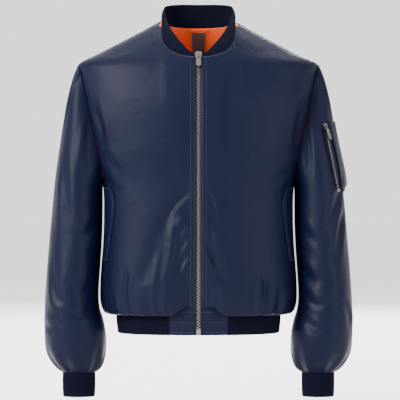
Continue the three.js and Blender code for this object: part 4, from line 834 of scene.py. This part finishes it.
# Pocket flaps. A curved flap of the shell cloth closes each slanted hand pocket: its free edge
# faces the zip, and its other edge is caught in the side beside the sleeve.
FLAP_EDGE = [  # z, x of the free edge, x of the edge beside the sleeve
    (-514, 192, 198),
    (-500, 188.5, 198.5),
    (-470, 184, 197),
    (-440, 180, 196),
    (-405, 175, 196),
    (-385, 175, 196),
    (-368, 179, 197),
    (-356, 186, 198),
]
FLAP_WALL, FLAP_GAP = 2.4, 0.9
FLAP_ROWS, FLAP_LINES = 48, 12
flap_grids = {}
flap_h = np.linspace(FLAP_EDGE[0][0], FLAP_EDGE[-1][0], FLAP_ROWS + 1)
near, far = smooth_table(FLAP_EDGE)(flap_h)
x = near[:, None] + (far - near)[:, None] * np.linspace(0, 1, FLAP_LINES + 1)
flap_h = np.repeat(flap_h[:, None], FLAP_LINES + 1, axis=1)
flap_angle = angle_at(x, flap_h, False)
for name, side in SIDES.items():
    flap_grids[side] = folded_point(side, flap_angle, flap_h)
    flap = cloth(f"pocket_flap_cloth_{name}", flap_grids[side], FLAP_WALL, (navy, navy),
                 sink=0.5, lift=FLAP_GAP + FLAP_WALL)
    worn(flap, f"pocket_flap_{name}")

# Front zip. Heavy metal teeth clenched on two woven tapes that are stitched behind the folded
# edges of the fronts; the slider, its pull tab and the box at the foot are cast metal.
TEETH_PITCH = 6  # from one tooth to the next on the same tape
TEETH_FOOT_Z, TEETH_TOP_Z = -653, -85
TEETH_BEHIND = 1.4  # how far behind the cloth's face the teeth's middle lies
TOOTH = {"Aside": 1.9, "Thick": 2.2, "Reach": 4.6, "High": 2.8, "Head": 1.6}
TAPE_REACH = (0.3, 27)  # from the centre line to a tape's two edges
TAPE_WALL, TAPE_GAP = 1.0, 0.6


def metal(name, base, roughness):
    """Plated metal, worn a little brighter in places."""
    material, shader, _, place = finish(name, roughness, Metallic=1.0)
    rubbed = (*(min(1, 1.5 * c) for c in base[:3]), 1)
    give(shader, "Base Color", place.noise(900, 2).blend(base, rubbed))
    give(shader, "Roughness", roughness + 0.16 * place.noise(1500, 1))
    raise_cloth(shader, place.noise(2400, 2), 0.00006)
    return material


silver = metal("antique_silver", (0.11, 0.10, 0.092, 1), 0.32)
woven = nylon("zip_tape_weave", (0.0015, 0.0018, 0.007, 1), (0.003, 0.0035, 0.012, 1), 0.8, 0.0,
              (0.4, 0.45, 0.8, 1))


def lines_of(name, paths):
    """Bare lines of points in space, each point with its direction out of the cloth."""
    points, outs = (np.concatenate([path[k] for path in paths]) for k in (0, 1))
    ends = np.cumsum([len(path[0]) for path in paths])
    edges = [(i, i + 1) for i in range(len(points) - 1) if i + 1 not in ends]
    mesh = bpy.data.meshes.new(name)
    mesh.from_pydata((points * MM).tolist(), edges, [])
    out = mesh.attributes.new("out", "FLOAT_VECTOR", "POINT")
    out.data.foreach_set("vector", np.asarray(outs, np.float32).ravel())
    return added(name, mesh)


def repeated(name, line, sizes, shape, material):
    """Repeats a small shape along a line with Geometry Nodes, and returns it as a plain mesh.
    Sizes are the tree's named inputs: Pitch, Aside (to the two sides in turn) and the shape's."""
    tree = bpy.data.node_groups.new(name, "GeometryNodeTree")
    face = tree.interface
    face.new_socket("Line", in_out="INPUT", socket_type="NodeSocketGeometry")
    for size in sizes:
        face.new_socket(size, in_out="INPUT", socket_type="NodeSocketFloat")
    face.new_socket("Geometry", in_out="OUTPUT", socket_type="NodeSocketGeometry")
    given = Value(tree, tree.nodes.new("NodeGroupInput").outputs[0])
    size = {key: Value(tree, given.socket.node.outputs[key]) for key in sizes}
    curve = given.node("GeometryNodeMeshToCurve", {}, {"Mesh": given})
    evenly = given.node("GeometryNodeResampleCurve", {"mode": "LENGTH"},
                        {"Curve": curve, "Length": size["Pitch"]})
    along = given.node("GeometryNodeInputTangent", {}, {})
    out = given.node("GeometryNodeInputNamedAttribute", {"data_type": "FLOAT_VECTOR"},
                     {"Name": "out"})
    upright = given.node("FunctionNodeAlignRotationToVector", {"axis": "Z"}, {"Vector": out})
    turned = given.node("FunctionNodeAlignRotationToVector", {"axis": "X", "pivot_axis": "Z"},
                        {"Rotation": upright, "Vector": along})
    placed_shape = given.node("GeometryNodeInstanceOnPoints", {},
                              {"Points": evenly, "Instance": shape(given, size),
                               "Rotation": turned})
    index = given.node("GeometryNodeInputIndex", {}, {})
    odd = given.node("ShaderNodeMath", {"operation": "MODULO"}, {0: index, 1: 2.0})
    aside = (odd * 2 - 1) * size["Aside"]
    offset = given.node("ShaderNodeCombineXYZ", {}, {"Y": aside})
    stepped = given.node("GeometryNodeTranslateInstances", {},
                         {"Instances": placed_shape, "Translation": offset})
    real = given.node("GeometryNodeRealizeInstances", {}, {"Geometry": stepped})
    coated = given.node("GeometryNodeSetMaterial", {}, {"Geometry": real, "Material": material})
    end = tree.nodes.new("NodeGroupOutput")
    tree.links.new(coated.socket, end.inputs[0])
    modifier = line.modifiers.new("repeat", "NODES")
    modifier.node_group = tree
    for item in face.items_tree:
        if item.in_out == "INPUT" and item.name in sizes:
            modifier[item.identifier] = sizes[item.name] * MM
    bpy.context.view_layer.update()
    graph = bpy.context.evaluated_depsgraph_get()
    mesh = bpy.data.meshes.new_from_object(line.evaluated_get(graph))
    bpy.data.objects.remove(line)
    mesh.name = name
    return added(name, mesh)


def tooth(given, size):
    """One tooth: a clenched foot on the tape's edge and a rounded head that meshes."""
    foot_size = given.node("ShaderNodeCombineXYZ", {}, {"X": size["Thick"], "Y": size["Reach"],
                                                       "Z": size["High"]})
    foot = given.node("GeometryNodeMeshCube", {}, {"Size": foot_size})
    head = given.node("GeometryNodeMeshUVSphere", {}, {"Segments": 8, "Rings": 5,
                                                      "Radius": size["Head"]})
    join = given.tree.nodes.new("GeometryNodeJoinGeometry")
    for part in (foot, head):
        given.tree.links.new(part.socket, join.inputs[0])
    return Value(given.tree, join.outputs[0])


up_front = front_grids[1][:, 0] * np.array([0, 1, 1])
up_tab = tab_grids[1][::-1, 0] * np.array([0, 1, 1])
zip_path = np.concatenate([up_tab[:-1], up_front])
zip_rise = np.gradient(zip_path, axis=0)
zip_out = unit(np.cross(zip_rise, np.array([-1.0, 0, 0])))
held = (zip_path[:, 2] > TEETH_FOOT_Z) & (zip_path[:, 2] < TEETH_TOP_Z)
zip_middle = zip_path - zip_out * TEETH_BEHIND
teeth_line = lines_of("zip_teeth_line", [(zip_middle[held], zip_out[held])])
teeth = repeated("zip_teeth_metal", teeth_line, {"Pitch": TEETH_PITCH / 2, **TOOTH}, tooth,
                 silver)
worn(teeth, "zip_teeth")

for name, side in SIDES.items():
    rows = np.concatenate([tab_grids[side][::-1][:-1], front_grids[side][:, :TAB_LINES + 1]])
    reach = np.linspace(*TAPE_REACH, 12)
    strip = np.stack([np.stack([reach * side, *(np.interp(reach, np.abs(row[:, 0]), row[:, k])
                                                for k in (1, 2))], -1) for row in rows])
    strip = strip + np.array([0, SHELL_WALL + TAPE_GAP, 0])
    tape = cloth(f"zip_tape_cloth_{name}", strip, TAPE_WALL, (woven, woven), sink=0)
    worn(tape, f"zip_tape_{name}")

for node in ("zip_box", "zip_slider", "zip_pull", "arm_zip_stop", "arm_zip_slider",
             "arm_zip_pull"):
    for slot in nodes[node].material_slots:
        slot.material = silver

# Sleeve pocket. A patch of the shell cloth on the wearer's left upper arm, edged by a slanted
# zip whose teeth and tape lie on the sleeve; the pocket stands away at its lower outer corner.
ARM_ZIP_TOP, ARM_ZIP_FOOT = (266, -230), (292, -360)  # x and z
ARM_TAPE = {"half_width": 8, "low": 0.9, "high": 1.7}
ARM_TEETH_HEIGHT = 2.8
ARM_TOOTH = {"Pitch": 1.7, "Aside": 1.0, "Thick": 1.3, "Reach": 3.4, "High": 1.5, "Head": 0.95}
ARM_POCKET = {"top": -226, "foot": -368, "beside_zip": 9, "far": 0.73, "far_top": 3.15,
              "far_foot": 5.3, "lift": 1, "wall": 2.4, "puff": 9}
SLEEVE_AXIS = (252, -6)  # x and y of the middle of the upper arm
FIRST_GUESS = (0.33, 4.0)  # fraction round the sleeve, and section, near the pocket's zip
STEP_AROUND, STEP_DOWN = 0.0025, 0.02
POCKET_ROWS, POCKET_LINES = 40, 44
read_armhole = read_line(np.concatenate([armholes[1], armholes[1][:1]]))


def left_sleeve(fraction, row):
    at = np.array([fraction % 1])
    return sleeve_points(1, at, row, read_armhole(at))[0]


def sleeve_place(x, z):
    """The place on the left sleeve's front that shows at x and z when seen from the front."""
    fraction, row = FIRST_GUESS
    for _ in range(30):
        here = left_sleeve(fraction, row)
        around = (left_sleeve(fraction + STEP_AROUND, row) - here) / STEP_AROUND
        down = (left_sleeve(fraction, row + STEP_DOWN) - here) / STEP_DOWN
        off_x, off_z = x - here[0], z - here[2]
        area = around[0] * down[2] - down[0] * around[2]
        fraction += np.clip((off_x * down[2] - down[0] * off_z) / area, -0.05, 0.05)
        row += np.clip((around[0] * off_z - off_x * around[2]) / area, -0.5, 0.5)
    return fraction, row


def arm_zip_x(z):
    t = (z - ARM_ZIP_TOP[1]) / (ARM_ZIP_FOOT[1] - ARM_ZIP_TOP[1])
    return ARM_ZIP_TOP[0] + (ARM_ZIP_FOOT[0] - ARM_ZIP_TOP[0]) * t


def out_of_sleeve(fraction, row):
    around = left_sleeve(fraction + 0.01, row) - left_sleeve(fraction - 0.01, row)
    down = left_sleeve(fraction, row + 0.2) - left_sleeve(fraction, row - 0.2)
    out = unit(np.cross(around, down))
    return out if out[:2] @ (left_sleeve(fraction, row)[:2] - SLEEVE_AXIS) > 0 else -out


arm_zip_z = np.linspace(ARM_ZIP_FOOT[1], ARM_ZIP_TOP[1], 41)
arm_places = [sleeve_place(arm_zip_x(z), z) for z in arm_zip_z]
arm_path = np.array([left_sleeve(*place) for place in arm_places])
arm_out = np.array([out_of_sleeve(*place) for place in arm_places])
arm_up = arm_path[-1] - arm_path[0]
arm_across = unit(np.cross(arm_up, arm_out[20]))
arm_teeth_line = lines_of("arm_teeth_line", [(arm_path + arm_out * ARM_TEETH_HEIGHT, arm_out)])
arm_teeth = repeated("arm_zip_teeth_metal", arm_teeth_line, ARM_TOOTH, tooth, silver)
worn(arm_teeth, "arm_zip_teeth")
tape_across = np.linspace(-ARM_TAPE["half_width"], ARM_TAPE["half_width"], 9)
arm_tape_grid = arm_path[:, None] + arm_across * tape_across[None, :, None]
arm_tape_grid = arm_tape_grid + arm_out[:, None] * ARM_TAPE["high"]
arm_tape = cloth("arm_zip_tape_cloth", arm_tape_grid, ARM_TAPE["high"] - ARM_TAPE["low"],
                 (woven, woven), axis=SLEEVE_AXIS, sink=0)
worn(arm_tape, "arm_zip_tape")

corners = [sleeve_place(arm_zip_x(z) + ARM_POCKET["beside_zip"], z)
           for z in (ARM_POCKET["foot"], ARM_POCKET["top"])]
pocket_rows = []
for t in np.linspace(0, 1, POCKET_ROWS + 1):
    near_at, near_row = (low + (high - low) * t for low, high in zip(*corners))
    far_row = ARM_POCKET["far_foot"] + (ARM_POCKET["far_top"] - ARM_POCKET["far_foot"]) * t
    line = []
    for s in np.linspace(0, 1, POCKET_LINES + 1):
        at = near_at + (ARM_POCKET["far"] - near_at) * s
        line.append(left_sleeve(at, near_row + (far_row - near_row) * smooth(s, 0, 0.5)))
    pocket_rows.append(line)
pocket_grid = np.array(pocket_rows)
s = np.linspace(0, 1, POCKET_LINES + 1)[None, :]
t = np.linspace(0, 1, POCKET_ROWS + 1)[:, None]
puff = ARM_POCKET["puff"] * smooth(s, 0, 0.45) * (1 - smooth(s, 0.7, 1))
puff = puff * smooth(t, 0, 0.1) * (1 - smooth(t, 0.15, 1))
pocket_grid = pocket_grid + facing(pocket_grid, axis=SLEEVE_AXIS) * puff[..., None]
pocket = cloth("arm_pocket_cloth", pocket_grid, ARM_POCKET["wall"], (navy, navy),
               axis=SLEEVE_AXIS, sink=0.5, lift=ARM_POCKET["lift"] + ARM_POCKET["wall"])
worn(pocket, "arm_pocket")

# Neck. The orange lining shows inside the back of the neck. On it lie the hanger loop, a flat
# strip of the same nylon, and below that a bare label of close satin weave.
LINING_GAP, LINING_WALL, LINING_RUFFLE = 0.3, 1, 0.9
LINING_REACH = 26  # lines on each side of the centre back
LINING_DOWN = 30  # rows down from the neck seam
LABEL = {"half_width": 14.5, "top": 9.5, "foot": 66}
LOOP = {"half_width": 21, "top": 0, "foot": 9}
NECK_PIECE_WALL = 0.8


def label_weave(name):
    """Close satin weave, charcoal, with a faint twill."""
    material, shader, cloth_map, place = finish(name, 0.6, Sheen_Weight=0.2)
    shade = cloth_map.wave(0.0007, 0.9) * 0.4 + cloth_map.noise(1800, 2) * 0.6
    give(shader, "Base Color", shade.blend((0.03, 0.025, 0.032, 1), (0.055, 0.046, 0.056, 1)))
    raise_cloth(shader, shade, 0.0002)
    return material


charcoal = label_weave("charcoal_label")
back_normal = facing(back_grid)
inside = back_grid - back_normal * SHELL_WALL
middle_line = PANEL_LINES
lining_lines = np.arange(middle_line - LINING_REACH, middle_line + LINING_REACH + 1)
around = np.linspace(-1, 1, len(lining_lines))[None, :]
downward = np.linspace(1, 0, LINING_DOWN)[:, None]
wave = np.sin(21 * around + 2 * np.sin(7 * around)) * smooth(downward, 0.02, 0.3)
off = LINING_GAP + LINING_WALL + LINING_RUFFLE * (1 + wave)
lining_grid = (inside[-LINING_DOWN:, lining_lines]
               - back_normal[-LINING_DOWN:, lining_lines] * off[..., None])
lining = cloth("neck_lining_cloth", lining_grid, LINING_WALL, (orange, orange), sink=0)
worn(lining, "neck_lining")


def read_grid(grid, row, line):
    """Points between those of a grid."""
    row, line = np.broadcast_arrays(np.asarray(row, float), np.asarray(line, float))
    r, c = np.floor(row).astype(int), np.floor(line).astype(int)
    r1, c1 = np.minimum(r + 1, grid.shape[0] - 1), np.minimum(c + 1, grid.shape[1] - 1)
    fr, fc = (row - r)[..., None], (line - c)[..., None]
    return ((grid[r, c] * (1 - fc) + grid[r, c1] * fc) * (1 - fr)
            + (grid[r1, c] * (1 - fc) + grid[r1, c1] * fc) * fr)


def neck_piece(name, half_width, top, foot, deep, material, rows):
    """A flat strip on the lining at the centre back, by its distances from the neck seam."""
    centre = inside[:, middle_line]
    falls = lengths_of(centre[::-1])
    down = np.linspace(foot, top, rows)
    row = len(centre) - 1 - np.interp(down, falls, np.arange(len(falls)))
    width = np.linalg.norm(inside[-1, middle_line + 1] - inside[-1, middle_line])
    line = middle_line + np.linspace(-half_width, half_width, 11) / width
    grid = read_grid(inside - back_normal * deep, row[:, None], line)
    return cloth(name, grid, NECK_PIECE_WALL, (material, material), sink=0)


label = neck_piece("neck_label_cloth", **LABEL, deep=4.4, material=charcoal, rows=24)
worn(label, "neck_label")
loop = neck_piece("hanger_loop_cloth", **LOOP, deep=4.6, material=orange, rows=6)
worn(loop, "hanger_loop")

# Topstitching. Matching thread in short stitches: two rows beside the zip, one below each
# shoulder seam, one along the flaps' edges and round the sleeve pocket, three across the tabs.
STITCH = {"Pitch": 3.4, "Aside": 0.0, "Long": 2.4, "Wide": 0.55, "High": 0.45}
FROM_ZIP = (8.5, 16)  # the two rows beside the zip, from the centre line


def stitch(given, size):
    ball = given.node("GeometryNodeMeshUVSphere", {}, {"Segments": 6, "Rings": 4, "Radius": 0.5})
    stretched = given.node("ShaderNodeCombineXYZ", {}, {"X": size["Long"], "Y": size["Wide"],
                                                       "Z": size["High"]})
    return given.node("GeometryNodeTransform", {}, {"Geometry": ball, "Scale": stretched})


def thread(name, dark, light):
    material, shader, _, place = finish(name, 0.55, Sheen_Weight=0.3)
    give(shader, "Base Color", place.noise(1500, 2).blend(dark, light))
    raise_cloth(shader, place.noise(3000, 1), 0.0001)
    return material


navy_thread = thread("navy_thread", (0.003, 0.004, 0.018, 1), (0.008, 0.010, 0.034, 1))


def sewn(name, grid, paths, lift, axis=(0, 0)):
    """Stitches along paths on a grid of points. A path is its rows and its lines."""
    normal = facing(grid, axis=axis)
    lines = []
    for row, line in paths:
        point, out = (read_grid(g, row, line) for g in (grid, normal))
        lines.append((point + out * lift, out))
    made = repeated(name, lines_of(f"{name}_line", lines), STITCH, stitch, navy_thread)
    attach(made, "jacket")


for name, side in SIDES.items():
    grid = front_grids[side]
    rows = np.arange(2, grid.shape[0] - 2)
    near_zip = np.abs(grid[:, :NECK_LINES, 0])
    paths = [(rows, [np.interp(reach, near_zip[r], np.arange(NECK_LINES)) for r in rows])
             for reach in FROM_ZIP]
    shoulder = np.arange(NECK_LINES + 1, NECK_LINES + SHOULDER_LINES)
    paths.append((grid.shape[0] - 1.9, shoulder))
    sewn(f"front_stitches_{name}", grid, paths, 0.05)
    grid = flap_grids[side]
    rows = np.arange(1, grid.shape[0] - 1)
    ends = np.arange(2, FLAP_LINES)
    paths = [(rows, 2.2), (1.2, ends), (grid.shape[0] - 2.2, ends)]
    sewn(f"flap_stitches_{name}", grid, paths, FLAP_GAP + FLAP_WALL)
    grid = tab_grids[side]
    lines = np.arange(1, TAB_LINES)
    paths = [(row, lines) for row in (1.5, 6, 10.8)]
    sewn(f"tab_stitches_{name}", grid, paths, 0.15)
last_row, last_line = POCKET_ROWS - 1, POCKET_LINES - 1
rows, lines = np.arange(1.5, last_row), np.arange(1.5, last_line)
paths = [(rows, 1.6), (rows, last_line), (1.6, lines), (last_row, lines)]
sewn("arm_pocket_stitches", pocket_grid, paths, ARM_POCKET["lift"] + ARM_POCKET["wall"] + 0.1,
     axis=SLEEVE_AXIS)

# Studio. A plain pale floor under a pale sky, a large soft light from the upper left, a broad
# fill from the right, and lights above and behind for the shoulders.
FLOOR_Z, FLOOR_REACH = -0.86, 40.0
CAMERA = {"x": 0.0032, "distance": 4.6, "z": -0.384, "lens": 193.5}
SKY_STRENGTH = 1.7
LIGHTS = [  # name, place, aims at, watts, width, colour
    ("key", (-3.1, -2.6, 1.6), (0, 0, -0.35), 520, 1.7, (1, 0.985, 0.96)),
    ("fill", (3.2, -2.8, 0.6), (0, 0, -0.4), 120, 2.4, (0.95, 0.97, 1)),
    ("top", (0.2, 0.6, 3.0), (0, 0, -0.3), 200, 2.4, (1, 1, 1)),
    ("behind", (0.6, 4.2, 1.6), (0, 0, -0.4), 260, 2.4, (1, 1, 1)),
]
rim = [2 * math.pi * k / 96 for k in range(96)]
sweep = bpy.data.meshes.new("floor")
sweep.from_pydata([(FLOOR_REACH * math.cos(a), FLOOR_REACH * math.sin(a), FLOOR_Z) for a in rim],
                  [], [list(range(len(rim)))])
floor = added("floor", sweep)
pale, pale_shader, _, _ = finish("pale_floor", 0.9, Specular_IOR_Level=0.0)
pale_shader.inputs["Base Color"].default_value = (0.93, 0.93, 0.93, 1)
sweep.materials.append(pale)


def aimed(name, data, place, target):
    made = added(name, data)
    made.location = place
    made.rotation_euler = (Vector(target) - Vector(place)).to_track_quat("-Z", "Y").to_euler()
    return made


for name, place, target, watts, width, colour in LIGHTS:
    light = bpy.data.lights.new(name, "AREA")
    light.shape, light.size, light.energy, light.color = "DISK", width, watts, colour
    aimed(name, light, place, target)

world = bpy.data.worlds.new("studio_air")
world.use_nodes = True
sky = world.node_tree.nodes["Background"].inputs
sky["Color"].default_value = (1, 1, 1, 1)
sky["Strength"].default_value = SKY_STRENGTH
bpy.context.scene.world = world

camera = bpy.data.cameras.new("camera")
camera.lens, camera.sensor_width = CAMERA["lens"], 36
camera.clip_end = 60
place = (CAMERA["x"], -CAMERA["distance"], CAMERA["z"])
bpy.context.scene.camera = aimed("camera", camera, place, (CAMERA["x"], 0, CAMERA["z"]))
